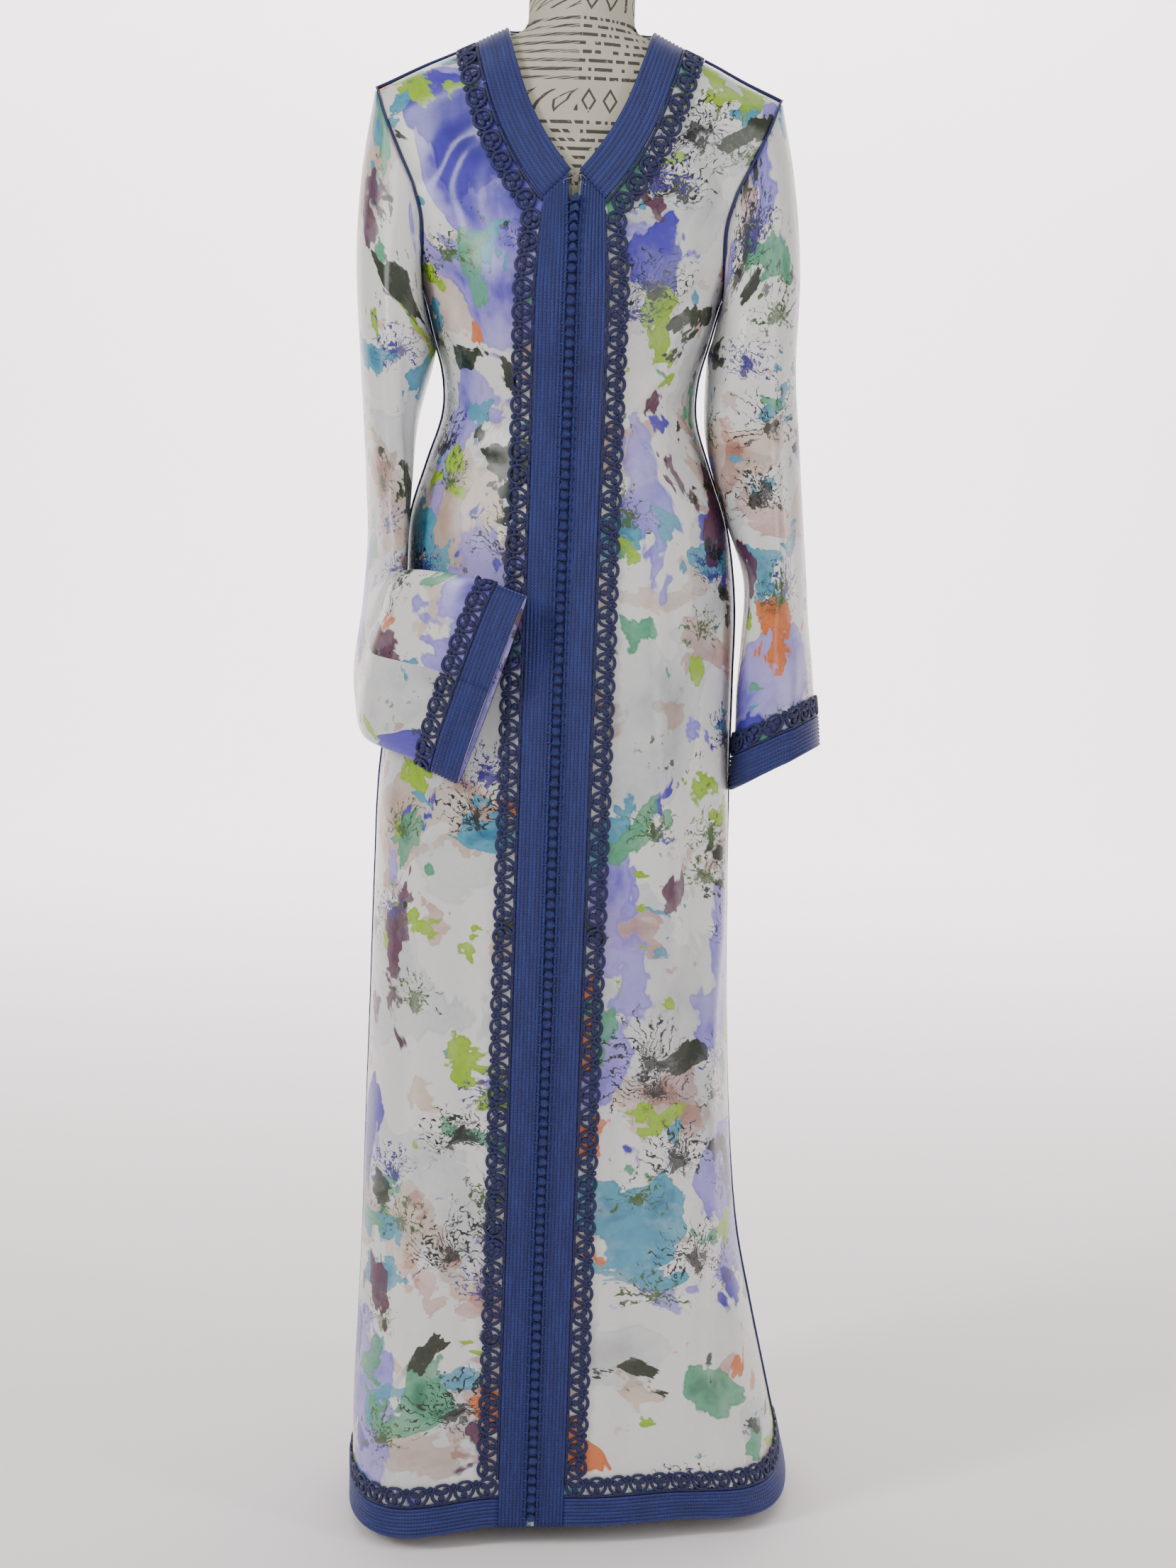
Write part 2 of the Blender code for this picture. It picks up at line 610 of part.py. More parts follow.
def make_front_trims(fronts, backs, materials):
    braid, lace = materials["braid"], materials["lace"]
    last = len(SKIRT_ROWS) - 1 + MITRE_STEP
    for side, word in SIDES:
        rows = fronts[side]
        strip = [(mix_pair(row[0], row[1], SLIT_PART), row[1]) for row in rows[:last]]
        end = rows[last - 1], rows[last]
        strip.append(tuple(mix_pair(mix_pair(end[0][0], end[0][1], part),
                                    mix_pair(end[1][0], end[1][1], part), TIP_PART)
                           for part in (SLIT_PART, 1.0)))
        loft("placket_braid_" + word, [braid_loop(a, b) for a, b in strip], braid)
        edges = [(mix_pair(row[1], row[2], GAP_PART), row[2]) for row in rows[LACE_ROW:last]]
        top = [mix_pair(a, b, TIP_PART) for a, b in zip(
            edges[-1], (mix_pair(rows[last][1], rows[last][2], GAP_PART), rows[last][2]))]
        low = [mix_pair(a, b, LACE_FOOT) for a, b in zip(edges[0], edges[1])]
        lace_strip("placket_lace_" + word, [low] + edges[1:] + [top], lace)
    neck = {}
    for side, _ in SIDES:
        rows = fronts[side][last:-1] + backs[side][1][::NECK_EVERY]
        neck[side] = [[(lifted(pair, NECK_LIFT), pair[1]) for pair in row[:3]] for row in rows]
    ring = neck[-1] + neck[1][-2::-1]
    loft("neck_braid", [braid_loop(mix_pair(row[0], row[1], BRAID_FOOT), row[1]) for row in ring], braid)
    for side, word in SIDES:
        edges = [(mix_pair(row[1], row[2], GAP_PART), row[2]) for row in neck[side]]
        tip = [mix_pair(a, b, TIP_PART) for a, b in zip(edges[-2], edges[-1])]
        lace_strip("neck_lace_" + word, edges[:-1] + [tip], lace)


def make_hem_trims(fronts, backs, materials):
    ring = []
    for side in (-1, 1):
        front = [[row[i] for row in fronts[side][:LACE_ROW + 1]] for i in range(1, len(fronts[side][0]))]
        front[0] = [mix_pair(a, b, HEM_FOOT) for a, b in zip(front[0], front[1])]
        back = [[row[i] for row in backs[side][0][:LACE_ROW + 1]] for i in range(BACK_COLUMNS, -1, -1)]
        stretch = (front, back)
        ring.append(stretch)
    left, right = ring
    whole = left[0] + left[1][1:] + right[1][-2:0:-1] + right[0][::-1]
    loft("hem_braid", [braid_loop(column[0], column[1]) for column in whole], materials["braid"])
    middle = left[1] + right[1][-2::-1]
    for name, columns in (("hem_lace_left", left[0]), ("hem_lace_back", middle),
                          ("hem_lace_right", right[0])):
        edges = [(mix_pair(column[1], column[2], GAP_PART), column[2]) for column in columns]
        lace_strip(name, edges, materials["lace"])


def arm_frame(side, turn, tilt, bent):
    """Wide and thin axes of a sleeve's ring: towards the front edge, and outwards."""
    turn, tilt = math.radians(turn), math.radians(tilt)
    ahead = Vector((-side * math.sin(turn), -math.cos(turn), 0))
    outward = Vector((side * math.cos(turn), -math.sin(turn), 0))
    up = Vector((0, 0, 1))
    if bent:
        return ahead * math.cos(tilt) + up * math.sin(tilt), outward
    return ahead, outward * math.cos(tilt) + up * math.sin(tilt)


def sleeve_rings(side, table, arm, bent):
    """Rings of points from the armhole to the cuff, 0 at the shoulder, then the front."""
    count = len(arm)
    first = [pair[0] + Vector((side * SLEEVE_GAP, 0, 0)) for pair in arm]
    full = []
    for x, y, z, turn, tilt, wide, thin in table:
        edge, outward = arm_frame(side, turn, tilt, bent)
        middle = Vector((side * x, y, z))
        full.append([middle + outward * thin * math.cos(math.tau * i / count)
                     + edge * wide * math.sin(math.tau * i / count) for i in range(count)])
    rings = [first]
    for part in CAP_RINGS:
        bulge = [CAP_BULGE * 4 * part * (1 - part) * (1 + math.cos(math.tau * i / count)) / 2
                 for i in range(count)]
        rings.append([a.lerp(b, part) + Vector((side * out, 0, 0))
                      for a, b, out in zip(first, full[0], bulge)])
    return rings + full


def ring_pairs(rings, side, arm):
    """Adds the outward normal to each point of a tube's rings, the panels' own at the seam."""
    grid = []
    for r, ring in enumerate(rings):
        row = []
        for i, point in enumerate(ring):
            around = ring[(i + 1) % len(ring)] - ring[i - 1]
            along = rings[min(r + 1, len(rings) - 1)][i] - rings[max(r - 1, 0)][i]
            normal = along.cross(around).normalized() * -side
            if r == 0 and normal.dot(arm[i][1]) > SEAM_LIKE:
                normal = arm[i][1]
            row.append((point, normal))
        grid.append(row + row[:1])
    return grid


def make_sleeve(side, word, table, bent, fronts, backs, materials):
    front_edge = [row[-1] for row in fronts[side][len(SKIRT_ROWS) - 1:]]
    back_edge = [ray[-1] for ray in backs[side][1][:ARM_STEPS + 1]]
    arm = front_edge[::-1] + back_edge[-2:0:-1]
    grid = ring_pairs(sleeve_rings(side, table, arm, bent), side, arm)
    solid_sheet("sleeve_" + word, [grid_polygons(grid, -WALL, 0.0)], materials["satin"])
    top, seam, edge = grid[-3:]
    loops = [braid_loop(b, a) for a, b in zip(seam[:-1], edge[:-1])]
    loft("cuff_braid_" + word, loops, materials["braid"], closed=True)
    half = len(top) // 2
    edges = [(mix_pair(a, b, GAP_PART), b) for a, b in zip(seam, top)]
    for name, part in (("front", edges[:half + 1]), ("back", edges[half:])):
        part = [[mix_pair(a, b, BRAID_FOOT) for a, b in zip(part[0], part[1])]] + part[1:]
        lace_strip("cuff_lace_%s_%s" % (word, name), part, materials["lace"])


def make_seam_cords(fronts, backs, materials):
    for side, word in SIDES:
        rows = fronts[side]
        side_seam = [row[-1] for row in rows[LACE_ROW + 1:len(SKIRT_ROWS) - 1]]
        piping("side_piping_" + word, side_seam, materials["piping"])
        shoulder = rows[-1][3:-1]
        piping("shoulder_piping_" + word, shoulder, materials["piping"])
        armhole = [mix_pair(row[-1], row[-2], ARMHOLE_INSET) for row in rows[len(SKIRT_ROWS) + 2:-1]]
        piping("armhole_piping_" + word, armhole, materials["piping"])


def make_buttons(fronts, materials):
    """The row of knots down the front, one bump for each, on the two braids."""
    centres = []
    for left, right in zip(fronts[-1], fronts[1]):
        centres.append(mix_pair(left[0], right[0], 0.5))
    heights = [pair[0].z for pair in centres]
    count = int((FIRST_BUTTON_Z - LAST_BUTTON_Z) / BUTTON_PITCH)
    loops = []
    for i in range(2 * count + 1):
        z = LAST_BUTTON_Z + i * BUTTON_PITCH / 2
        k = min(max(bisect.bisect_right(heights, z) - 1, 0), len(heights) - 2)
        part = (z - heights[k]) / (heights[k + 1] - heights[k])
        pair = mix_pair(centres[k], centres[k + 1], part)
        bump = i % 2
        half = BUTTON_HALF * (1.0 if bump else BAR_PART)
        top = BUTTON_BASE + (KNOT_TOP if bump else BAR_TOP)
        base = lifted(pair, BUTTON_BASE)
        loops.append([base - Vector((half, 0, 0)), base + Vector((half, 0, 0)), lifted(pair, top)])
    loft("button_row", loops, materials["braid"])


def make_hook(fronts, materials):
    """The hook and eye across the top of the slit."""
    row = fronts[1][len(SKIRT_ROWS) - 1 + MITRE_STEP]
    other = fronts[-1][len(SKIRT_ROWS) - 1 + MITRE_STEP]
    ends = [mix_pair(other[0], other[1], HOOK_PART), mix_pair(row[0], row[1], HOOK_PART)]
    loops = []
    for pair in ends:
        base = lifted(pair, TRIM_LIFT + BRAID_THICK + RIB + HOOK_LIFT) - Vector((0, 0, HOOK_DROP))
        up, out = Vector((0, 0, HOOK_HALF)), pair[1] * HOOK_THICK
        loops.append([base - up, base + up, base + up + out, base - up + out])
    loft("hook_and_eye", loops, materials["hook"])


def form_ring(z, inset):
    """One level ring of the dress form, clear of the cloth by the inset."""
    middle, half, front, back, _, square = section(z)
    half -= abs(middle) + inset
    count = FORM_SEGMENTS
    turns = [(i + 0.5) * math.tau / count for i in range(count)]
    widest = max(math.sin(turn) for turn in turns)
    neck = FORM_NECK if z > 1.42 else 0.0
    ease = FORM_BACK_EASE * ramp((RIDGE_Z - 0.04 - z) / 0.03)
    limit = half
    if z > UNDERARM_Z:
        arm = [(way_to_z(x, way), x) for x, way in ARMHOLE]
        limit = min(limit, smooth_value(arm, 1, z) - FORM_ARM_GAP)
        ridge = (RIDGE_Z - FORM_SHIFT - z) / RIDGE_SLOPE
        if z > SHOULDER_TIP_Z - 0.03:
            ridge = max(ridge, 0.0)
            limit = min(limit, (ridge ** 8 + neck ** 8) ** 0.125)
    ring = []
    for turn in turns:
        x = limit * math.sin(turn) / widest
        depth = front if math.cos(turn) > 0 else back - ease
        part = max(1 - (abs(x) / half) ** square, 0.0) ** (1 / square)
        fall = min(max((ridge_z(x) - FORM_SHIFT - z) / ROUND_DROP, 0.0), 1.0)
        body = (depth - inset) * part * math.sqrt(1 - (1 - fall) ** 2)
        reach = FORM_NECK_FRONT if math.cos(turn) > 0 else FORM_NECK_BACK
        column = reach * math.sqrt(max(1 - (x / neck) ** 2, 0.0)) if neck else 0.0
        deep = max((body ** 4 + column ** 4) ** 0.25, FORM_EDGE)
        mound = fold_height(turn, z) if z > 1.15 else 0.0
        ring.append(Vector((x, -math.copysign(deep, math.cos(turn))
                            - mound * math.cos(turn), z)))
    return ring


def make_form(materials):
    rings = [form_ring(z, inset) for z, inset in FORM_ROWS]
    loft("form_torso", rings, materials["form_cover"])


def make_stand(materials):
    def disc(radius, z, count):
        return [Vector((radius * math.cos(math.tau * i / count),
                        radius * math.sin(math.tau * i / count), z)) for i in range(count)]
    bevel = 0.002
    foot = [disc(FOOT_RADIUS - bevel, 0.0, 32), disc(FOOT_RADIUS, bevel, 32),
            disc(FOOT_RADIUS, FOOT_THICK - bevel, 32), disc(FOOT_RADIUS - bevel, FOOT_THICK, 32)]
    loft("stand_foot", foot, materials["stand"])
    pole = [disc(POLE_RADIUS, FOOT_THICK + SEAM, 16), disc(POLE_RADIUS, FORM_BOTTOM - SEAM, 16)]
    loft("stand_pole", pole, materials["stand"])


def build():
    clear_scene()
    materials = {name: make_material(name) for name in MATERIALS}
    fronts = make_fronts(materials)
    backs = make_back(materials)
    make_front_trims(fronts, backs, materials)
    make_hem_trims(fronts, backs, materials)
    make_sleeve(-1, "left", BENT_SLEEVE, True, fronts, backs, materials)
    make_sleeve(1, "right", HANGING_SLEEVE, False, fronts, backs, materials)
    make_seam_cords(fronts, backs, materials)
    make_buttons(fronts, materials)
    make_hook(fronts, materials)
    make_form(materials)
    make_stand(materials)


build()
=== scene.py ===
"""Looks of a moroccan kaftan on a dress form: satin, braid, lace, knots, form and studio.

Metres, +Z up, -Y is the front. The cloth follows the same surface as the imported
solids, with creases added, and everything sewn on it follows the cloth.
"""
import bisect
import math

import bmesh
import bpy
import numpy as np
from mathutils import Matrix, Vector


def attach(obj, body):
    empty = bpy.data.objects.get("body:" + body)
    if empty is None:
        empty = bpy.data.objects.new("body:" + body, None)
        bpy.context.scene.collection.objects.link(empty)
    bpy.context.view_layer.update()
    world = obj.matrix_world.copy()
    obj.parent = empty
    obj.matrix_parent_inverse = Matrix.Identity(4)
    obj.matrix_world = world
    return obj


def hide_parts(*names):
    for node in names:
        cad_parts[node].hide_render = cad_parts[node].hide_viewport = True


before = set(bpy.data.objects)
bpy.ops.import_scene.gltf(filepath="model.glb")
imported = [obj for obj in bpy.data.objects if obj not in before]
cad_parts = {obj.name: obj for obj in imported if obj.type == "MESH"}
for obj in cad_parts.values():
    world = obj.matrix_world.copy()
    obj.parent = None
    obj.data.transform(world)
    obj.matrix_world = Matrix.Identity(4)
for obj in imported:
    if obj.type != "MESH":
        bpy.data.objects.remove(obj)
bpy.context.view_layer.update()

# The cloth's own surface, as the solids have it
BRAID_WIDE = 0.030
LACE_WIDE = 0.0215
TRIM_GAP = 0.0005         # between the braid and the lace beside it
HEM_Z = 0.020             # height of the hem over the floor
UNDERARM_Z = 1.262
NECK_HALF = 0.071         # half width of the neck hole at the shoulder seam
NECK_DROP = 0.2256        # depth of the front neckline, measured on the cloth
NECK_RISE = 0.035         # depth of the back neckline, measured on the cloth
SLIT_HALF = 0.0035        # half width between the two braids of the placket
FIRST_BUTTON_Z = 1.330
LAST_BUTTON_Z = 0.032
BUTTON_PITCH = 0.0097
RIDGE_Z = 1.5526          # shoulder line carried on to the middle of the neck
RIDGE_SLOPE = 0.466       # fall of the shoulder line for each metre outwards
ROUND_DROP = 0.050        # height over which the shoulder rounds over
ROUND_WAY = 0.095         # the same, measured on the cloth

# Sections of the body: half widths to the left and right of the placket's
# line, depths to the front and the back, slant (how far the right side stands
# back) and squareness (2 is an ellipse).
# z, left, right, front, back, slant, square
SECTIONS = (
    (0.020, 0.187, 0.270, 0.150, 0.150, 0.16, 2.60),
    (0.120, 0.188, 0.246, 0.150, 0.150, 0.14, 2.55),
    (0.200, 0.186, 0.226, 0.149, 0.149, 0.12, 2.50),
    (0.290, 0.184, 0.207, 0.148, 0.147, 0.10, 2.45),
    (0.400, 0.184, 0.194, 0.147, 0.145, 0.08, 2.40),
    (0.530, 0.184, 0.186, 0.146, 0.143, 0.06, 2.35),
    (0.660, 0.184, 0.180, 0.145, 0.141, 0.04, 2.30),
    (0.780, 0.181, 0.176, 0.141, 0.137, 0.02, 2.25),
    (0.880, 0.166, 0.175, 0.134, 0.131, 0.00, 2.20),
    (0.960, 0.160, 0.174, 0.127, 0.120, 0.00, 2.15),
    (1.035, 0.157, 0.163, 0.117, 0.105, 0.00, 2.10),
    (1.090, 0.141, 0.144, 0.109, 0.093, 0.00, 2.05),
    (1.140, 0.126, 0.128, 0.105, 0.086, 0.00, 2.00),
    (1.180, 0.127, 0.128, 0.108, 0.086, 0.00, 2.00),
    (1.220, 0.138, 0.138, 0.114, 0.090, 0.00, 2.00),
    (1.262, 0.150, 0.150, 0.117, 0.095, 0.00, 2.00),
    (1.310, 0.172, 0.172, 0.112, 0.097, 0.00, 2.00),
    (1.370, 0.198, 0.198, 0.100, 0.094, 0.00, 2.00),
    (1.440, 0.218, 0.218, 0.085, 0.084, 0.00, 2.00),
    (1.600, 0.222, 0.222, 0.070, 0.070, 0.00, 2.00),
)
LEFT, RIGHT, FRONT, BACK, SLANT, SQUARE = 1, 2, 3, 4, 5, 6

# Soft folds and mounds: the angle round the body (0 is the front, 90 the
# right side), the half width of the fold, how far it stands out, the heights
# between which it is full, and the way over which it fades.
# angle, spread, depth, low, high, fade
FOLDS = (
    (-50.0, 24.0, 0.034, -1.00, 0.06, 0.72),
    (-17.0, 14.0, -0.010, -1.00, 0.10, 0.55),
    (24.0, 16.0, -0.006, -1.00, 0.12, 0.60),
    (56.0, 20.0, 0.020, -1.00, 0.10, 0.60),
    (84.0, 14.0, -0.010, -1.00, 0.06, 0.45),
    (118.0, 20.0, 0.016, -1.00, 0.10, 0.70),
    (148.0, 16.0, -0.012, -1.00, 0.10, 0.60),
    (178.0, 18.0, 0.014, -1.00, 0.12, 0.70),
    (209.0, 16.0, -0.012, -1.00, 0.08, 0.55),
    (238.0, 20.0, 0.015, -1.00, 0.10, 0.65),
    (-36.0, 26.0, 0.010, 1.245, 1.275, 0.07),
    (36.0, 26.0, 0.010, 1.245, 1.275, 0.07),
)
HEM_FALL = 0.22           # how much lower the hem hangs where a fold stands out

# Armhole seam, from the underarm up to the shoulder tip, on either side: x, and
# the way down from the shoulder line, measured on the cloth.
# x, way
ARMHOLE = (
    (0.1500, 0.2657), (0.1505, 0.2550), (0.1475, 0.2320), (0.1490, 0.1980),
    (0.1590, 0.1600), (0.1735, 0.1220), (0.1880, 0.0820), (0.1975, 0.0410), (0.2030, 0.0),
)
ARM_STEPS = len(ARMHOLE) - 1
SIDE_COLUMNS = 6          # columns between the placket's lace and the side seam
BACK_COLUMNS = 6          # columns between the middle of the back and a side seam
BACK_RAY = (0.18, 0.38, 0.59, 0.80, 1.0)

# Rings of the sleeves below the shoulder: the middle of the ring (x counts
# outwards), the turn of its wide axis towards the front, the tilt of the
# ring, and its half sizes.
# x, y, z, turn, tilt, wide, thin
BENT_SLEEVE = (
    (0.1755, 0.000, 1.200, 4, 0, 0.0780, 0.0385),
    (0.1810, 0.000, 1.130, 10, 0, 0.0800, 0.0270),
    (0.1815, 0.000, 1.070, 14, 0, 0.0815, 0.0200),
    (0.1815, 0.000, 1.020, 15, 4, 0.0820, 0.0160),
    (0.1852, -0.002, 0.952, 18, 22, 0.0840, 0.0150),
    (0.1872, -0.019, 0.925, 24, 42, 0.0845, 0.0150),
    (0.1837, -0.041, 0.905, 31, 60, 0.0860, 0.0150),
    (0.1740, -0.076, 0.899, 40, 68, 0.0930, 0.0150),
    (0.1460, -0.107, 0.895, 54, 70, 0.0960, 0.0140),
    (0.1100, -0.131, 0.8885, 64, 71, 0.0975, 0.0130),
    (0.0912, -0.1381, 0.8818, 70, 71, 0.0985, 0.0125),
    (0.0640, -0.1460, 0.8720, 76, 71, 0.0990, 0.0125),
)
HANGING_SLEEVE = (
    (0.1840, 0.000, 1.200, 0, 0, 0.0720, 0.0455),
    (0.1875, 0.000, 1.130, 5, 3, 0.0700, 0.0480),
    (0.2030, 0.000, 1.050, 8, 5, 0.0770, 0.0400),
    (0.2175, 0.000, 0.985, 10, 8, 0.0800, 0.0315),
    (0.2195, -0.003, 0.925, 12, 14, 0.0780, 0.0350),
    (0.2205, -0.006, 0.885, 13, 20, 0.0750, 0.0400),
    (0.2225, -0.008, 0.846, 14, 28, 0.0720, 0.0440),
    (0.2235, -0.010, 0.8222, 14, 29, 0.0710, 0.0465),
    (0.2245, -0.012, 0.7900, 14, 30, 0.0700, 0.0490),
)
CAP_RINGS = (0.30, 0.62)  # rings between the armhole and the first full ring
CAP_BULGE = 0.010
SLEEVE_GAP = 0.0020       # between the armhole's edge and the sleeve
EDGE_X = 0.0002           # the front panels' edges beside the middle
TRIM_X = (EDGE_X, SLIT_HALF + BRAID_WIDE, SLIT_HALF + BRAID_WIDE + TRIM_GAP + LACE_WIDE)
NECK_WIDTHS = (0.0, BRAID_WIDE, BRAID_WIDE + TRIM_GAP + LACE_WIDE)
MITRE_STEP = 2            # step of the armhole at the bottom of the neckline
MITRE_PART = 0.0286       # where the two sides of the neckline part
LACE_PITCH = 0.0228       # the scene's own: the solids' lace repeats a little wider
SIDE_GAP = 0.0015         # from the side seam's line to a panel's edge, as an angle

# Values of the scene's own detail
SIDES = ((-1, "left"), (1, "right"))
SATIN_THICK = 0.0009
DRAPE_DEPTH = 0.0020      # soft ripples all over the hanging satin
DRAPE_BROAD = 46.0
DRAPE_NARROW = 88.0
CREASE_DEPTH = 1.9        # how much deeper the creases are than their rows say
SATIN_ROUGH = 0.27
WELD = 0.0003             # points of two patches that lie this close are one
CLOTH_STEP = 0.0065       # spacing of the cloth's points up the body
ROW_STEP = 0.18           # the same above the underarm, in steps of the armhole
PANEL_COLUMNS = 42
HALF_COLUMNS = 44
RAY_COLUMNS = 30
SLEEVE_TURNS = 65
SLEEVE_STEP = 0.007
TRIM_STEP = 0.005
TRIM_POINTS = 5           # places across a trim's band
SLEEVE_PRINT = 2.0        # shift of the sleeves' print
BRAID_LIFT = 0.0005
BRAID_BASE = 0.0014
BRAID_EDGE = 0.0010
BRAID_STEP = 0.006
CORDS = 8                 # cords side by side in the braid
CORD_POINTS = 4
CORD_HIGH = 0.0014
CORD_ROUND = 0.7
CORD_TWIST = 0.0032       # length of one turn of a twisted cord
PLAIT_PITCH = 0.0030
LACE_LIFT = 0.0012
RING_PLACE = 0.535
RING_RADIUS = 0.0092
RING_CORD = 0.0018
RING_HIGH = 0.0008
RING_POINTS = 30
LOBE_RADIUS = 0.0036
LOBE_REACH = 0.0044
LOBES = 3
LINK_CORD = 0.0014
PICOT_RADIUS = 0.0017
PICOT_CORD = 0.0013
PICOT_POINTS = 10
PICOT_IN = 0.0036
EDGE_IN = 0.0012
EDGE_CORD = 0.0015
EDGE_HIGH = 0.0006
KNOT_WIDE = 0.0044
KNOT_TALL = 0.0043
KNOT_HIGH = 0.0040
KNOT_DEPTH = 0.10
KNOT_ROWS = 8
KNOT_TURNS = 12
KNOT_STRAY = 0.0003
BACKING_HALF = 0.0052
BACKING_FLAT = 0.22
BUTTON_LIFT = BRAID_LIFT + 0.0012
LOOP_CORD = 0.0008
LOOP_LOW = 0.0024
LOOP_HIGH = 0.0032
HOOK_WIRE = 0.00045
PIPING_RADIUS = 0.0019
SIDE_RADIUS = 0.0011
PIPING_STEP = 0.004
CORD_LIFT = 0.0002        # from the cloth to a seam cord
PRINT_ROW = 0.034         # rows of marks printed on the form's cover
PRINT_CELL = 0.021
FORM_BOTTOM = 0.720
FORM_TOP = 1.600
FORM_NECK = 0.053
FORM_NECK_FRONT = 0.056
FORM_NECK_BACK = 0.018
FORM_SHIFT = 0.0052
FORM_ARM_GAP = 0.012
FORM_BACK_EASE = 0.0055
FORM_NECK_FROM = 1.42
FORM_TIP_FROM = 1.428
FORM_MOUND_FROM = 1.15
FORM_TURNS = 72
# Heights of the dress form's rings and how far each lies inside the cloth's outer face.
# z, inset
FORM_ROWS = (
    (FORM_BOTTOM, 0.012), (0.790, 0.010), (0.880, 0.009), (0.960, 0.009), (1.035, 0.008),
    (1.130, 0.008), (1.180, 0.008), (1.220, 0.008), (1.262, 0.008), (1.320, 0.007), (1.375, 0.006),
    (1.410, 0.0055), (1.438, 0.0055), (1.453, 0.0055), (1.468, 0.0055), (1.484, 0.0055),
    (1.500, 0.0055), (1.518, 0.0055), (1.545, 0.0055), (FORM_TOP, 0.0055),
)
CAMERA_PLACE = Vector((0.033, -2.6, 1.10))
CAMERA_PITCH = 7.3506
CAMERA_ROLL = 2.0
CAMERA_LENS = 57.92
STUDIO_BACK = 4.5
STUDIO_CURVE = 2.0
WORLD_LIGHT = 0.5
# name, place, aim, size, power
LAMPS = (
    ("key", (-2.6, -1.9, 2.5), (0.0, 0.0, 0.9), (0.6, 1.7), 70.0),
    ("fill", (2.7, -1.6, 1.5), (0.0, 0.0, 0.8), (0.5, 2.2), 30.0),
    ("front", (0.3, -3.6, 2.0), (0.0, 0.0, 0.8), (1.0, 1.6), 10.0),
    ("top", (0.2, 0.3, 3.4), (0.0, 0.0, 1.0), (2.0, 1.0), 10.0),
    ("wall", (0.0, 3.2, 4.4), (0.0, 6.2, 1.8), (8.0, 0.8), 900.0),
    ("floor", (0.0, -1.6, 3.8), (0.0, 0.6, 0.0), (3.0, 1.0), 24.0),
)


def smooth_value(table, column, at):
    """A smooth curve through one column of a table whose first column rises."""
    keys = [row[0] for row in table]
    at = min(max(at, keys[0]), keys[-1])
    i = min(max(bisect.bisect_right(keys, at) - 1, 0), len(keys) - 2)

    def slope(k):
        low, high = max(k - 1, 0), min(k + 1, len(keys) - 1)
        return (table[high][column] - table[low][column]) / (keys[high] - keys[low])

    span = keys[i + 1] - keys[i]
    t = (at - keys[i]) / span
    start, end = table[i][column], table[i + 1][column]
    bend = (1 - t) * (slope(i) * span - (end - start)) - t * (slope(i + 1) * span - (end - start))
    return start + t * (end - start) + t * (1 - t) * bend


def section(z):
    """Middle, half width, depths, slant and squareness of the body at z."""
    left, right, front, back, slant, square = (
        smooth_value(SECTIONS, column, z)
        for column in (LEFT, RIGHT, FRONT, BACK, SLANT, SQUARE))
    return (right - left) / 2, (right + left) / 2, front, back, slant, square


def ridge_z(x):
    return RIDGE_Z - RIDGE_SLOPE * abs(x)


def ramp(value):
    value = min(max(value, 0.0), 1.0)
    return value * value * (3 - 2 * value)


def fold_height(phi, z):
    total = 0.0
    for angle, spread, depth, low, high, fade in FOLDS:
        away = (math.degrees(phi) - angle + 180) % 360 - 180
        if abs(away) < 2 * spread:
            outside = max(low - z, z - high, 0.0)
            across = math.cos(math.radians(away / spread * 45)) ** 2
            total += depth * across * ramp(1 - outside / fade)
    return total


def skin(phi, z):
    """The outer face of the body's cloth, round the body by phi at height z."""
    middle, half, front, back, slant, square = section(z)
    sine, cosine = math.sin(phi), math.cos(phi)
    x = middle + half * math.copysign(abs(sine) ** (2 / square), sine)
    depth = front if cosine > 0 else back
    fall = min(max((ridge_z(x) - z) / ROUND_DROP, 0.0), 1.0)
    rounding = math.sqrt(1 - (1 - fall) ** 2)
    y = -depth * math.copysign(abs(cosine) ** (2 / square), cosine) * rounding
    out = fold_height(phi, z)
    low = ramp((0.35 - z) / 0.30)
    return Vector((x + 0.3 * out * sine,
                   y + slant * (x - middle) - out * cosine * rounding,
                   z - HEM_FALL * out * low))


def phi_at(x, z, front=True):
    """The angle round the body of the point with this x at height z."""
    middle, half, _, _, _, square = section(z)
    part = min(max((x - middle) / half, -1.0), 1.0)
    phi = math.asin(math.copysign(abs(part) ** (square / 2), part))
    return phi if front else math.pi - phi


def way_to_z(x, way):
    """Height of the point that lies this far below the shoulder line, measured on the cloth."""
    way = abs(way)
    if way < ROUND_WAY:
        return ridge_z(x) - ROUND_DROP * (1 - math.cos(math.pi / 2 * way / ROUND_WAY))
    return ridge_z(x) - ROUND_DROP - (way - ROUND_WAY)


def z_to_way(x, z):
    drop = ridge_z(x) - z
    if drop < ROUND_DROP:
        return ROUND_WAY * math.acos(1 - max(drop, 0.0) / ROUND_DROP) / (math.pi / 2)
    return ROUND_WAY + drop - ROUND_DROP


def flat_to_skin(x, way):
    """A point of the upper body: way is below the shoulder line, in front where negative."""
    z = way_to_z(x, way)
    return skin(phi_at(x, z, front=way <= 0), z)


def neck_point(part):
    """Neckline in (x, way), part 0 at the bottom in front, 1 at the shoulder, 2 at the back."""
    if part <= 1:
        way = -NECK_DROP * (1 - part)
        x = NECK_HALF * (1 - (way / NECK_DROP) ** 2)
        along = Vector((-2 * NECK_HALF * way / NECK_DROP ** 2, 1.0))
    else:
        turn = (part - 1) * math.pi / 2
        x, way = NECK_HALF * math.cos(turn), NECK_RISE * math.sin(turn)
        along = Vector((-NECK_HALF * math.sin(turn), NECK_RISE * math.cos(turn)))
    along.normalize()
    return Vector((x, way)), Vector((along.y, -along.x))


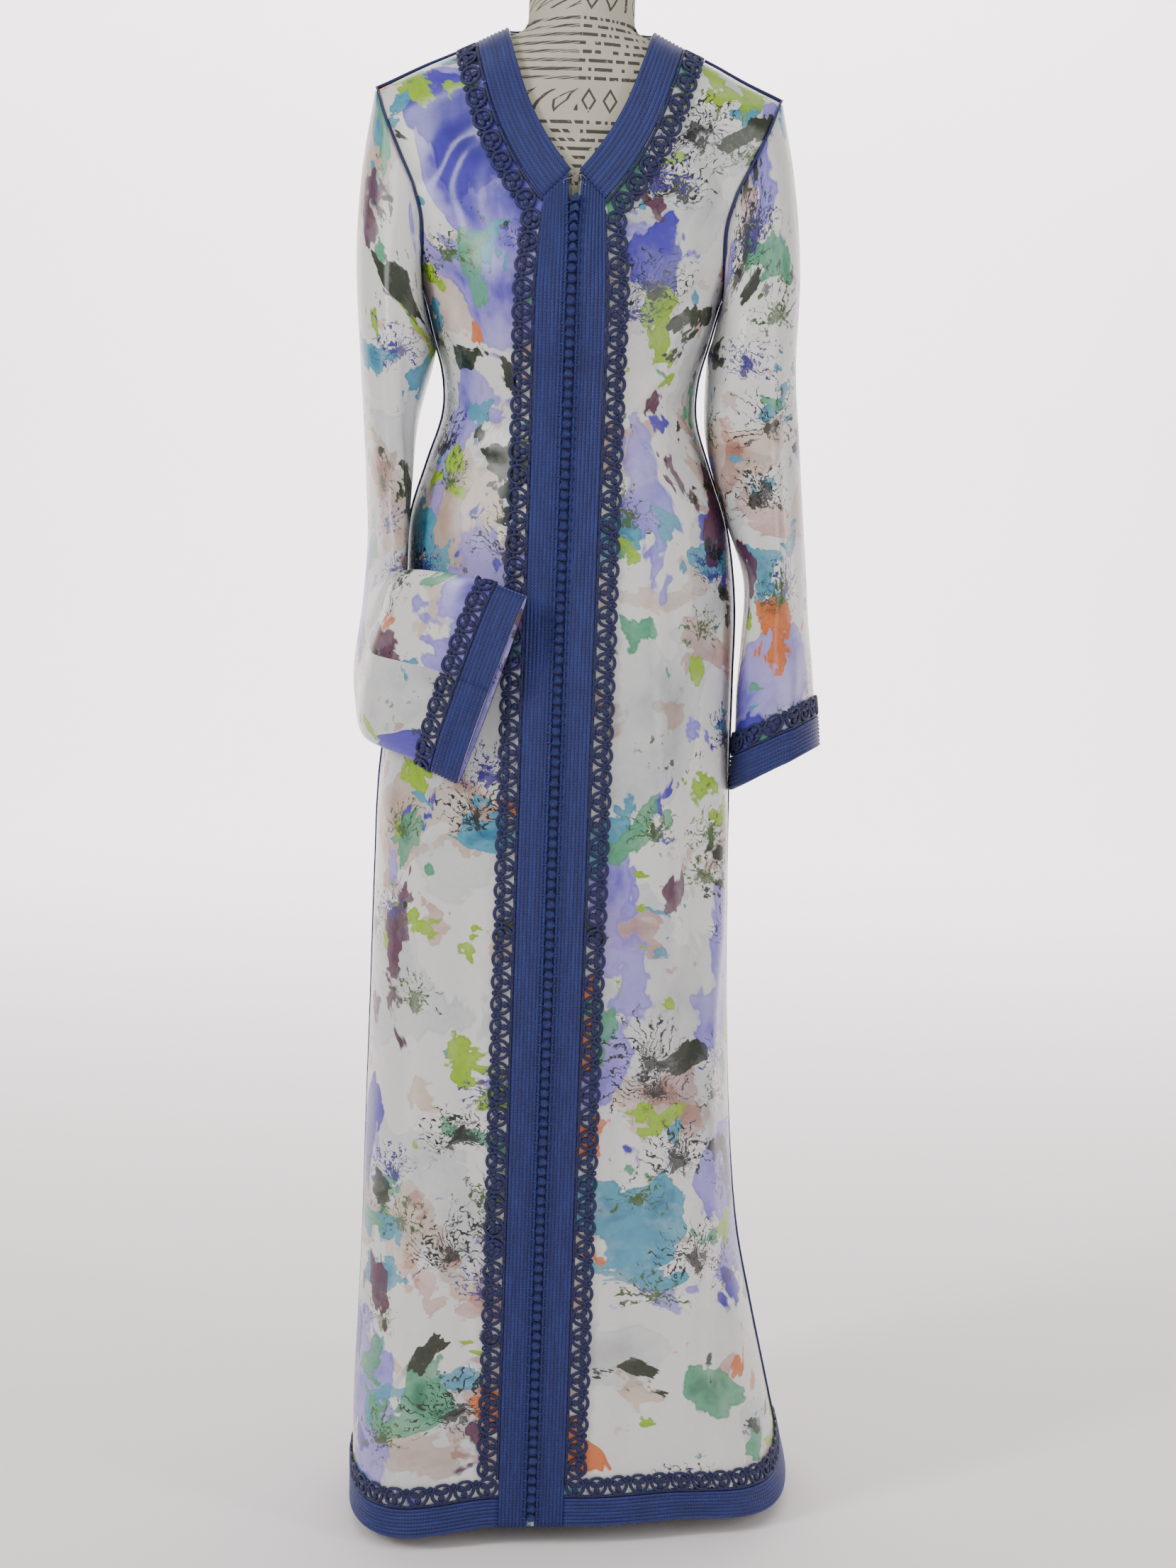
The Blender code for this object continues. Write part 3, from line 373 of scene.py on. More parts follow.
# Creases in the satin, each along a line seen from the front or from the back: where it
# starts and ends, its half width, how far it stands out (a trough is negative), and the face.
# x0, z0, x1, z1, half, height, face
CREASES = (
    (-0.110, 0.930, -0.118, 0.150, 0.016, 0.0034, 1),
    (-0.078, 0.760, -0.070, 0.090, 0.013, -0.0030, 1),
    (-0.142, 0.620, -0.150, 0.080, 0.012, -0.0036, 1),
    (0.095, 1.020, 0.104, 0.420, 0.018, 0.0040, 1),
    (0.130, 0.880, 0.146, 0.240, 0.013, -0.0040, 1),
    (0.160, 0.820, 0.172, 0.300, 0.010, 0.0038, 1),
    (0.075, 0.520, 0.098, 0.070, 0.014, -0.0030, 1),
    (0.128, 0.420, 0.170, 0.060, 0.016, 0.0042, 1),
    (0.176, 0.300, 0.214, 0.070, 0.013, -0.0046, 1),
    (-0.135, 1.290, -0.085, 1.205, 0.009, -0.0030, 1),
    (-0.130, 1.255, -0.075, 1.165, 0.008, 0.0022, 1),
    (0.136, 1.290, 0.085, 1.210, 0.009, -0.0030, 1),
    (0.128, 1.240, 0.070, 1.150, 0.008, 0.0024, 1),
    (-0.126, 1.160, -0.065, 1.120, 0.007, -0.0022, 1),
    (-0.122, 1.110, -0.060, 1.085, 0.008, -0.0020, 1),
    (0.126, 1.165, 0.066, 1.140, 0.007, -0.0022, 1),
    (0.124, 1.105, 0.062, 1.065, 0.008, -0.0024, 1),
    (-0.150, 1.360, -0.100, 1.420, 0.010, -0.0026, 1),
    (0.150, 1.360, 0.102, 1.425, 0.010, -0.0026, 1),
    (0.118, 1.420, 0.110, 1.300, 0.014, 0.0026, 1),
    (-0.112, 1.400, -0.112, 1.300, 0.012, 0.0022, 1),
    (-0.150, 0.900, -0.170, 0.280, 0.014, -0.0040, -1),
    (-0.100, 0.960, -0.110, 0.120, 0.017, 0.0042, -1),
    (-0.045, 0.900, -0.040, 0.080, 0.015, -0.0036, -1),
    (0.012, 1.000, 0.020, 0.100, 0.018, 0.0038, -1),
    (0.070, 0.880, 0.085, 0.100, 0.014, -0.0036, -1),
    (0.120, 0.940, 0.155, 0.090, 0.017, 0.0044, -1),
    (0.165, 0.760, 0.205, 0.120, 0.014, -0.0038, -1),
    (-0.120, 1.170, -0.040, 1.130, 0.008, -0.0026, -1),
    (-0.110, 1.110, -0.030, 1.095, 0.009, 0.0024, -1),
    (0.120, 1.175, 0.045, 1.140, 0.008, -0.0026, -1),
    (0.112, 1.115, 0.040, 1.085, 0.009, 0.0024, -1),
    (-0.150, 1.330, -0.080, 1.250, 0.012, -0.0028, -1),
    (0.150, 1.335, 0.085, 1.255, 0.012, -0.0028, -1),
)
MITRE_Z = 1.379           # height of the mitre at the bottom of the neckline
MITRE_TURN = -0.28        # fall of the trims' edge halfway to the mitre
SHOULDER_GAP = 0.0002     # from the shoulder seam to either panel's edge
PRINT_RADIUS = 0.165      # turns an angle round the body into a width of printed cloth
OUTWARD_Z = 0.02
CREASE_FACE = 0.035       # depth over which a crease of one face fades out towards the other


def creased(points, normals):
    """Moves points of the cloth along their normals by the creases."""
    flat = points[..., (0, 2)]
    height = np.zeros(points.shape[:-1])
    for x0, z0, x1, z1, half, rise, face in CREASES:
        start, run = np.array((x0, z0)), np.array((x1 - x0, z1 - z0))
        part = ((flat - start) @ run) / (run @ run)
        inside = np.clip(part, 0, 1)
        away = flat - start - inside[..., None] * run
        wander = half * 0.5 * np.sin(inside * 7.0 + x0 * 40)
        side = away[..., 0] - wander
        gap = np.hypot(side, away[..., 1])
        taper = np.sin(np.pi * np.clip(part * 0.9 + 0.05, 0, 1)) ** 0.6
        fade = np.clip(-face * points[..., 1] / CREASE_FACE, 0, 1)
        height += CREASE_DEPTH * rise * np.exp(-(gap / half) ** 2) * taper * fade
    x, z = flat[..., 0], flat[..., 1]
    broad = np.sin(DRAPE_BROAD * x + 2.1 * np.sin(5.0 * z) + 1.3)
    narrow = np.sin(DRAPE_NARROW * x + 3.0 * np.sin(4.3 * z + 2.0))
    swell = 0.6 + 0.4 * np.sin(3.1 * z + 0.7)
    height += DRAPE_DEPTH * (0.5 + 0.32 * swell * broad + 0.18 * narrow)
    return points + normals * height[..., None]


def grid_normals(points, outwards):
    """Unit normals of a grid of points, all on the side that outwards gives."""
    across = np.gradient(points, axis=1)
    along = np.gradient(points, axis=0)
    normals = np.cross(across, along)
    normals /= np.maximum(np.linalg.norm(normals, axis=-1, keepdims=True), 1e-9)
    turned = np.sign((normals * outwards).sum(axis=-1, keepdims=True))
    turned[turned == 0] = 1
    return normals * turned


def flat_spot(x, way):
    """Spot of the upper cloth from its flat measures: the angle, the height, and the height unrolled."""
    z = way_to_z(x, way)
    return phi_at(x, z, front=way <= 0), z, ridge_z(x) + ROUND_WAY - ROUND_DROP - abs(way)


def body_grid(spots):
    """Points, normals and print coordinates of the creased cloth from rows of its spots."""
    points = np.array([[skin(phi, z) for phi, z, _ in row] for row in spots])
    prints = np.array([[(phi * PRINT_RADIUS, height) for phi, _, height in row] for row in spots])
    outwards = points.copy()
    outwards[..., 2] = OUTWARD_Z
    normals = grid_normals(points, outwards)
    points = creased(points, normals)
    return points, grid_normals(points, outwards), prints


def arc_lengths(points, axis):
    steps = np.linalg.norm(np.diff(points, axis=axis), axis=-1)
    zero = np.zeros_like(np.take(steps, [0], axis=axis))
    return np.cumsum(np.concatenate([zero, steps], axis=axis), axis=axis)


def even(low, high, step):
    """Numbers from low to high, about a step apart."""
    return np.linspace(low, high, max(2, int(round((high - low) / step)) + 1))


def armhole(s):
    """Armhole seam at step s, from 0 at the underarm to 8 at the shoulder: x and way."""
    table = [(k, x, way) for k, (x, way) in enumerate(ARMHOLE)]
    return smooth_value(table, 1, s), smooth_value(table, 2, s)


def lower_front(side, z, column):
    """The front below the underarm: columns 0 to 2 hold the trims, 2 to 8 the panel."""
    if column <= 2:
        x = side * np.interp(column, (0, 1, 2), TRIM_X)
        return phi_at(x, z), z, z
    start = phi_at(side * TRIM_X[-1], z)
    end = side * (math.pi / 2 - SIDE_GAP)
    return start + (end - start) * (column - 2) / SIDE_COLUMNS, z, z


def side_x(phi):
    """How far out the cloth lies at the underarm's height, before its folds."""
    middle, half, _, _, _, square = section(UNDERARM_Z)
    return abs(middle + half * math.copysign(abs(math.sin(phi)) ** (2 / square), math.sin(phi)))


def front_row(step):
    """The panel's measures (x, way) at the columns of one whole step above the underarm."""
    x, way = armhole(step)
    arm = Vector((x, -way))
    if step == 0:
        start, end = phi_at(TRIM_X[-1], UNDERARM_Z), math.pi / 2 - SIDE_GAP
        outer = [side_x(start + (end - start) * i / SIDE_COLUMNS) for i in range(1, SIDE_COLUMNS + 1)]
        return [Vector((x, -z_to_way(x, UNDERARM_Z))) for x in list(TRIM_X) + outer]
    if step < MITRE_STEP:
        origin = Vector((EDGE_X, -z_to_way(0, (UNDERARM_Z + MITRE_Z) / 2)))
        direction = Vector((1.0, MITRE_TURN)).normalized()
        widths = [x - EDGE_X for x in TRIM_X]
    else:
        part = MITRE_PART + (1 - MITRE_PART) * (step - MITRE_STEP) / (ARM_STEPS - MITRE_STEP)
        origin, direction = neck_point(part)
        widths = NECK_WIDTHS
    flat = [origin + direction * width for width in widths]
    return flat + [flat[-1].lerp(arm, i / SIDE_COLUMNS) for i in range(1, SIDE_COLUMNS + 1)]


def upper_front(side, step, column):
    """The front from the underarm to the shoulder, over the same columns."""
    if step < MITRE_STEP:
        low = min(int(step), MITRE_STEP - 1)
        rows = front_row(low), front_row(low + 1)
        row = [a.lerp(b, step - low) for a, b in zip(*rows)]
    else:
        row = front_row(step)
    low = min(int(column), len(row) - 2)
    x, way = row[low].lerp(row[low + 1], column - low)
    return flat_spot(side * x, min(way, -SHOULDER_GAP))


def lower_back(side, z, column):
    """The back below the underarm: column 0 is its middle, 6 the side seam."""
    start = phi_at(0, z, front=False)
    end = side * (math.pi / 2 + SIDE_GAP) % math.tau
    return start + (end - start) * column / BACK_COLUMNS, z, z


def upper_back(side, ray, column):
    """The back above the underarm: rays from the neckline, 0 at the shoulder, 14 at the middle."""
    count = ARM_STEPS + BACK_COLUMNS
    if ray <= ARM_STEPS:
        target = Vector(armhole(ARM_STEPS - ray))
    else:
        start, end = phi_at(0, UNDERARM_Z, front=False), math.pi / 2 + SIDE_GAP
        x = side_x(start + (end - start) * (count - ray) / BACK_COLUMNS)
        target = Vector((x, z_to_way(x, UNDERARM_Z)))
    origin, direction = neck_point(1 + ray / count)
    flat = [origin + direction * width for width in NECK_WIDTHS]
    flat += [flat[-1].lerp(target, part) for part in BACK_RAY]
    low = min(int(column), len(flat) - 2)
    x, way = flat[low].lerp(flat[low + 1], column - low)
    phi, z, height = flat_spot(side * x, max(way, SHOULDER_GAP))
    return phi % math.tau, z, height


def grid_faces(rows, columns, closed=False):
    """Quads over a grid of numbered vertices, which closes across its columns if asked."""
    number = np.arange(rows * columns).reshape(rows, columns)
    if closed:
        number = np.concatenate([number, number[:, :1]], axis=1)
    low, high = number[:-1], number[1:]
    return np.stack([low[:, :-1], low[:, 1:], high[:, 1:], high[:, :-1]], axis=-1).reshape(-1, 4)


def mesh_object(name, vertices, faces, coordinates, material):
    """A smooth mesh object with one UV map, from arrays."""
    mesh = bpy.data.meshes.new(name)
    mesh.from_pydata(np.asarray(vertices).reshape(-1, 3).tolist(), [], [list(f) for f in faces])
    layer = mesh.uv_layers.new(name="UVMap")
    loops = np.empty(len(mesh.loops), dtype=np.int64)
    mesh.loops.foreach_get("vertex_index", loops)
    layer.data.foreach_set("uv", np.asarray(coordinates).reshape(-1, 2)[loops].ravel())
    mesh.materials.append(material)
    mesh.shade_smooth()
    obj = bpy.data.objects.new(name, mesh)
    bpy.context.scene.collection.objects.link(obj)
    return obj


def sheet_object(name, patches, material, thickness=SATIN_THICK):
    """Cloth from patches of (points, normals, print coordinates), welded and given a thickness."""
    vertices, faces, prints, start = [], [], [], 0
    for points, normals, coordinates in patches:
        rows, columns = points.shape[:2]
        quads = grid_faces(rows, columns)
        a, b, d = (points.reshape(-1, 3)[quads[:, i]] for i in (0, 1, 3))
        turned = (np.cross(b - a, d - a) * normals.reshape(-1, 3)[quads[:, 0]]).sum()
        if turned < 0:
            quads = quads[:, ::-1]
        vertices.append(points.reshape(-1, 3))
        prints.append(coordinates.reshape(-1, 2))
        faces.append(quads + start)
        start += rows * columns
    obj = mesh_object(name, np.concatenate(vertices), np.concatenate(faces), np.concatenate(prints), material)
    work = bmesh.new()
    work.from_mesh(obj.data)
    bmesh.ops.remove_doubles(work, verts=work.verts, dist=WELD)
    work.to_mesh(obj.data)
    work.free()
    solid = obj.modifiers.new("thickness", "SOLIDIFY")
    solid.thickness = thickness
    solid.offset = -1
    return obj


class Strip:
    """A band of the cloth's surface, measured in metres along it (s) and across it (c)."""

    def __init__(self, points, normals):
        self.points, self.normals = points, normals
        middle = points.shape[1] // 2
        self.along = arc_lengths(points, 0)[:, middle]
        widths = arc_lengths(points, 1)
        self.across = widths.mean(axis=0)
        self.length, self.width = self.along[-1], self.across[-1]

    def frame(self, s, c):
        """Points and normals at the given places of the band."""
        row = np.interp(s, self.along, np.arange(len(self.along)))
        column = np.interp(c, self.across, np.arange(len(self.across)))
        r = np.clip(row.astype(int), 0, len(self.along) - 2)
        k = np.clip(column.astype(int), 0, len(self.across) - 2)
        u, v = (row - r)[..., None], (column - k)[..., None]

        def mixed(grid):
            near = grid[r, k] * (1 - v) + grid[r, k + 1] * v
            far = grid[r + 1, k] * (1 - v) + grid[r + 1, k + 1] * v
            return near * (1 - u) + far * u
        normal = mixed(self.normals)
        return mixed(self.points), normal / np.linalg.norm(normal, axis=-1, keepdims=True)

    def place(self, local):
        """Puts local points (s, c, height over the cloth) on the band."""
        point, normal = self.frame(local[..., 0], local[..., 1])
        return point + normal * local[..., 2:3]

    def place_stiff(self, s, c, local):
        """Puts a cell that doesn't bend on the band: its s counts from the given place."""
        step = self.width / 8
        (middle, behind, ahead, beside), normals = self.frame(
            np.array((s, s - step, s + step, s)), np.array((c, c, c, c + step)))
        along = (ahead - behind) / np.linalg.norm(ahead - behind)
        across = np.cross(normals[0], along)
        across *= math.copysign(1.0, across @ (beside - middle))
        return middle + np.stack([local[:, 0], local[:, 1] - c, local[:, 2]], axis=-1) @ np.array(
            (along, across, normals[0]))


def tube(path, radius, sides, closed=False, squash=1.0):
    """Vertices, faces and UVs of a cord along a path of local points, height along the third axis."""
    path = np.asarray(path, dtype=float)
    if closed:
        ahead = np.roll(path, -1, axis=0) - np.roll(path, 1, axis=0)
    else:
        ahead = np.gradient(path, axis=0)
    ahead /= np.linalg.norm(ahead, axis=1, keepdims=True)
    up = np.tile((0.0, 0.0, 1.0), (len(path), 1))
    side = np.cross(ahead, up)
    side /= np.maximum(np.linalg.norm(side, axis=1, keepdims=True), 1e-9)
    up = np.cross(side, ahead)
    turn = np.arange(sides) * math.tau / sides
    radius = np.broadcast_to(radius, (len(path),))[:, None, None]
    ring = side[:, None] * np.cos(turn)[None, :, None] + up[:, None] * np.sin(turn)[None, :, None] * squash
    vertices = path[:, None] + ring * radius
    count = len(path)
    faces = grid_faces(count, sides, closed=True).tolist()
    if closed:
        last = (count - 1) * sides
        faces += [[last + i, last + (i + 1) % sides, (i + 1) % sides, i] for i in range(sides)]
    else:
        faces.append(list(range(sides - 1, -1, -1)))
        faces.append([(count - 1) * sides + i for i in range(sides)])
    length = arc_lengths(path[:, None], 0)[:, 0]
    coordinates = np.stack(np.broadcast_arrays(turn[None, :] / math.tau, length[:, None]), axis=-1)
    return vertices.reshape(-1, 3), faces, coordinates.reshape(-1, 2)


def join(parts):
    """One set of vertices, faces and UVs from several."""
    vertices, faces, coordinates, start = [], [], [], 0
    for points, polygons, uv in parts:
        vertices.append(points)
        coordinates.append(uv)
        faces += [[i + start for i in polygon] for polygon in polygons]
        start += len(points)
    return np.concatenate(vertices), faces, np.concatenate(coordinates)


def piece(name, parts, material, slot, *nodes):
    """A piece of the scene from joined parts, which stands for the named nodes."""
    obj = mesh_object(name, *join(parts), material)
    return belongs(obj, slot, *nodes)


def belongs(obj, slot, *nodes):
    """Rides a piece on the part's one body and hides the nodes that it stands for; its slot is not used."""
    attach(obj, "root")
    if nodes:
        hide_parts(*nodes)
    return obj


LOWER_ROWS = even(HEM_Z, UNDERARM_Z, CLOTH_STEP)
UPPER_ROWS = even(0, ARM_STEPS, ROW_STEP)
TRIM_COLUMNS = (0.0, 0.5, 1.0, 1.5)


def front_spots(side, columns, lower, upper):
    rows = [[lower_front(side, z, column) for column in columns] for z in lower]
    return rows + [[upper_front(side, step, column) for column in columns] for step in upper]


def make_fronts(satin):
    """The two front panels, from the hem to the shoulders."""
    columns = list(TRIM_COLUMNS) + list(np.linspace(2, 2 + SIDE_COLUMNS, PANEL_COLUMNS))
    for side, word in SIDES:
        patch = body_grid(front_spots(side, columns, LOWER_ROWS, UPPER_ROWS[1:]))
        obj = sheet_object("satin_front_" + word, [patch], satin)
        yield belongs(obj, "satin", "front_" + word)


def make_back(satin):
    """The back in one cut: a skirt and, above the underarms, rays round the neckline."""
    steps = np.linspace(0, BACK_COLUMNS, HALF_COLUMNS)
    spots = [[lower_back(-1, z, c) for c in steps[::-1]] + [lower_back(1, z, c) for c in steps[1:]]
             for z in LOWER_ROWS]
    patches = [body_grid(spots)]
    rays = list(UPPER_ROWS) + list(ARM_STEPS + BACK_COLUMNS - steps[-2::-1])
    for side in (-1, 1):
        columns = np.linspace(0, len(NECK_WIDTHS) - 1 + len(BACK_RAY), RAY_COLUMNS)
        patches.append(body_grid([[upper_back(side, ray, c) for c in columns] for ray in rays]))
    obj = sheet_object("satin_back", patches, satin)
    return belongs(obj, "satin", "back")


def ring_spot(side, q):
    """Point of the armhole seam: q is 0 at the shoulder, 8 under the arm, 16 at the shoulder again."""
    x, way = armhole(ARM_STEPS - q if q <= ARM_STEPS else q - ARM_STEPS)
    return flat_to_skin(side * x, -way if q <= ARM_STEPS else way)


def arm_frame(side, turn, tilt, bent):
    """Wide and thin axes of a sleeve's ring: towards the front edge, and outwards."""
    turn, tilt = math.radians(turn), math.radians(tilt)
    ahead = Vector((-side * math.sin(turn), -math.cos(turn), 0))
    outward = Vector((side * math.cos(turn), -math.sin(turn), 0))
    up = Vector((0, 0, 1))
    if bent:
        return ahead * math.cos(tilt) + up * math.sin(tilt), outward
    return ahead, outward * math.cos(tilt) + up * math.sin(tilt)


def sleeve_rings(side, table, bent, turns):
    """Rings of points round a sleeve, from the armhole to the cuff."""
    count = 2 * ARM_STEPS
    first = [ring_spot(side, q) + Vector((side * SLEEVE_GAP, 0, 0)) for q in turns]
    angles = [math.tau * q / count for q in turns]
    full = []
    for x, y, z, turn, tilt, wide, thin in table:
        edge, outward = arm_frame(side, turn, tilt, bent)
        middle = Vector((side * x, y, z))
        full.append([middle + outward * thin * math.cos(a) + edge * wide * math.sin(a) for a in angles])
    rings = [first]
    for part in CAP_RINGS:
        rings.append([a.lerp(b, part) + Vector((side * CAP_BULGE * 4 * part * (1 - part)
                                                * (1 + math.cos(angle)) / 2, 0, 0))
                      for a, b, angle in zip(first, full[0], angles)])
    return np.array(rings + full)


def curve_through(knots, values, at):
    """A smooth curve through values at the knots, read at other places."""
    slopes = np.gradient(values, knots, axis=0)
    k = np.clip(np.searchsorted(knots, at, side="right") - 1, 0, len(knots) - 2)
    span = (knots[k + 1] - knots[k])
    t = ((at - knots[k]) / span)[:, None, None]
    span = span[:, None, None]
    start, end = values[k], values[k + 1]
    return ((1 + 2 * t) * (1 - t) ** 2 * start + t * (1 - t) ** 2 * span * slopes[k]
            + t * t * (3 - 2 * t) * end + t * t * (t - 1) * span * slopes[k + 1])


def sleeve_creases(turns, along, creases):
    """Heights of a sleeve's creases: rows of (turn, way along, spread in turns, half length, height)."""
    height = np.zeros((len(along), len(turns)))
    for turn, way, spread, half, rise, lean in creases:
        part = (along - way) / half
        centre = turn + lean * part
        away = (turns[None, :] - centre[:, None] + ARM_STEPS) % (2 * ARM_STEPS) - ARM_STEPS
        height += rise * np.exp(-(away / spread) ** 2) * np.exp(-part ** 2)[:, None]
    return height


class Sleeve:
    """One sleeve's grid, from the armhole to the cuff, and where its trims begin."""

    def __init__(self, side, table, bent, creases):
        turns = np.linspace(0, 2 * ARM_STEPS, SLEEVE_TURNS)
        rings = sleeve_rings(side, table, bent, list(turns))
        middles = rings.mean(axis=1)
        knots = np.concatenate([[0], np.cumsum(np.linalg.norm(np.diff(middles, axis=0), axis=1))])
        self.knots = knots
        self.along = np.union1d(even(0, knots[-3], SLEEVE_STEP), even(knots[-3], knots[-1], TRIM_STEP))
        points = curve_through(knots, rings, self.along)
        outwards = points - curve_through(knots, np.repeat(middles[:, None], len(turns), 1), self.along)
        normals = grid_normals(points, outwards)
        normals[:, -1] = normals[:, 0] = (normals[:, -1] + normals[:, 0]) / 2
        height = sleeve_creases(turns, self.along, creases)
        self.points = points + normals * height[..., None]
        self.normals = grid_normals(self.points, outwards)
        seam = self.normals[:, 0] + self.normals[:, -1]
        self.normals[:, 0] = self.normals[:, -1] = seam / np.linalg.norm(seam, axis=1, keepdims=True)
        around = arc_lengths(self.points, 1)
        self.prints = np.stack([around + side * SLEEVE_PRINT, np.broadcast_to(
            -self.along[:, None], around.shape) + SLEEVE_PRINT], axis=-1)

    def strip(self, low, high, start, end):
        """A band round the sleeve between two knots, with columns from low to high."""
        columns = curve_through(self.along, self.points, even(low, high, TRIM_STEP))
        normals = curve_through(self.along, self.normals, even(low, high, TRIM_STEP))
        normals /= np.linalg.norm(normals, axis=-1, keepdims=True)
        part = slice(start, end)
        return Strip(columns[:, part].transpose(1, 0, 2), normals[:, part].transpose(1, 0, 2))


def band(rows):
    """A band of the body's cloth from rows of spots along it."""
    points, normals, _ = body_grid(rows)
    return Strip(points, normals)


def braid_parts(strip, closed=False):
    """A braid of cords side by side over a whole band, with rounded edges."""
    count = max(2, int(strip.length / BRAID_STEP))
    ribs = np.arange(CORDS * CORD_POINTS + 1) / (CORDS * CORD_POINTS)
    arch = np.abs(np.sin(math.pi * CORDS * ribs)) ** CORD_ROUND
    across = np.concatenate([[0, 0], ribs, [1, 1]])
    height = np.concatenate([[0, BRAID_EDGE], BRAID_BASE + CORD_HIGH * arch, [BRAID_EDGE, 0]])
    s = np.linspace(0, strip.length, count)
    local = np.empty((count, len(across), 3))
    local[..., 0] = s[:, None]
    local[..., 1] = across[None, :] * strip.width
    local[..., 2] = BRAID_LIFT + height[None, :]
    faces = grid_faces(count, len(across)).tolist()
    last = len(across) - 1
    for i in range(count - 1):
        a, b = i * len(across), (i + 1) * len(across)
        faces.append([a + last, a, b, b + last])
    if not closed:
        faces.append(list(range(len(across) - 1, -1, -1)))
        faces.append([(count - 1) * len(across) + i for i in range(len(across))])
    coordinates = np.stack(np.broadcast_arrays(across[None, :] * CORDS, s[:, None]), axis=-1)
    return strip.place(local).reshape(-1, 3), faces, coordinates.reshape(-1, 2)


def lace_template(width):
    """One cell of the lace: a ring with a trefoil in it, a picot beside it, and the edge cord."""
    middle = width * RING_PLACE
    turn = np.arange(RING_POINTS) * math.tau / RING_POINTS
    ring = np.stack([RING_RADIUS * np.sin(turn), middle - RING_RADIUS * np.cos(turn),
                     np.full(RING_POINTS, RING_HIGH)], axis=-1)
    lobes = []
    for k in range(LOBES):
        turn = k * math.tau / LOBES
        path = [(r * math.sin(turn), middle - r * math.cos(turn), RING_HIGH)
                for r in (0.0, LOBE_REACH / 2, LOBE_REACH, LOBE_REACH + LOBE_RADIUS)]
        lobes.append(tube(path, LOBE_RADIUS * np.array((0.5, 0.75, 1.0, 0.4)), 8, squash=0.45))
    half = LACE_PITCH / 2
    picot_turn = np.arange(PICOT_POINTS) * math.tau / PICOT_POINTS
    picot = np.stack([half + PICOT_RADIUS * np.sin(picot_turn),
                      width - PICOT_IN - PICOT_RADIUS * np.cos(picot_turn),
                      np.full(PICOT_POINTS, RING_HIGH)], axis=-1)
    edge = [(-half, EDGE_IN, EDGE_HIGH), (-half / 2, EDGE_IN, EDGE_HIGH), (0, EDGE_IN, EDGE_HIGH),
            (half / 2, EDGE_IN, EDGE_HIGH), (half, EDGE_IN, EDGE_HIGH)]
    link = [(RING_RADIUS * 0.86, middle + RING_RADIUS * 0.42, RING_HIGH),
            (half, middle + RING_RADIUS * 0.12, RING_HIGH),
            (LACE_PITCH - RING_RADIUS * 0.86, middle + RING_RADIUS * 0.42, RING_HIGH)]
    return join([
        tube(ring, RING_CORD, 7, closed=True, squash=0.85),
        *lobes,
        tube(picot, PICOT_CORD, 5, closed=True, squash=0.85),
        tube(edge, EDGE_CORD, 6, squash=0.7),
        tube(link, LINK_CORD, 6, squash=0.8),
    ])


def lace_parts(strip, stiff=False):
    """Lace cells laid one after another along a band; stiff ones keep their round shape."""
    vertices, faces, coordinates = lace_template(strip.width)
    count = max(1, round(strip.length / LACE_PITCH))
    pitch = strip.length / count
    points, polygons, uv = [], [], []
    for i in range(count):
        local = vertices.copy()
        local[:, 0] = vertices[:, 0] / LACE_PITCH * pitch
        local[:, 2] += LACE_LIFT
        if stiff:
            points.append(strip.place_stiff((i + 0.5) * pitch, strip.width / 2, local))
        else:
            local[:, 0] = np.clip(local[:, 0] + (i + 0.5) * pitch, 0, strip.length)
            points.append(strip.place(local))
        uv.append(coordinates)
        polygons += [[k + i * len(vertices) for k in face] for face in faces]
    return np.concatenate(points), polygons, np.concatenate(uv)


def knot_template():
    """A knotted button: a ball whose surface shows the turns of the cord."""
    rows, turns = KNOT_ROWS, KNOT_TURNS
    vertices, faces = [], []
    for i in range(rows + 1):
        fall = math.pi * i / rows
        for k in range(turns):
            turn = math.tau * k / turns
            lobe = 1 + KNOT_DEPTH * math.cos(3 * turn + 2.2 * math.cos(fall)) * math.sin(fall)
            vertices.append((KNOT_WIDE * lobe * math.sin(fall) * math.cos(turn),
                             KNOT_TALL * lobe * math.sin(fall) * math.sin(turn),
                             KNOT_HIGH * math.cos(fall)))
    faces = grid_faces(rows + 1, turns, closed=True).tolist()
    flat = np.array(vertices)
    return flat, faces, flat[:, :2] / KNOT_WIDE


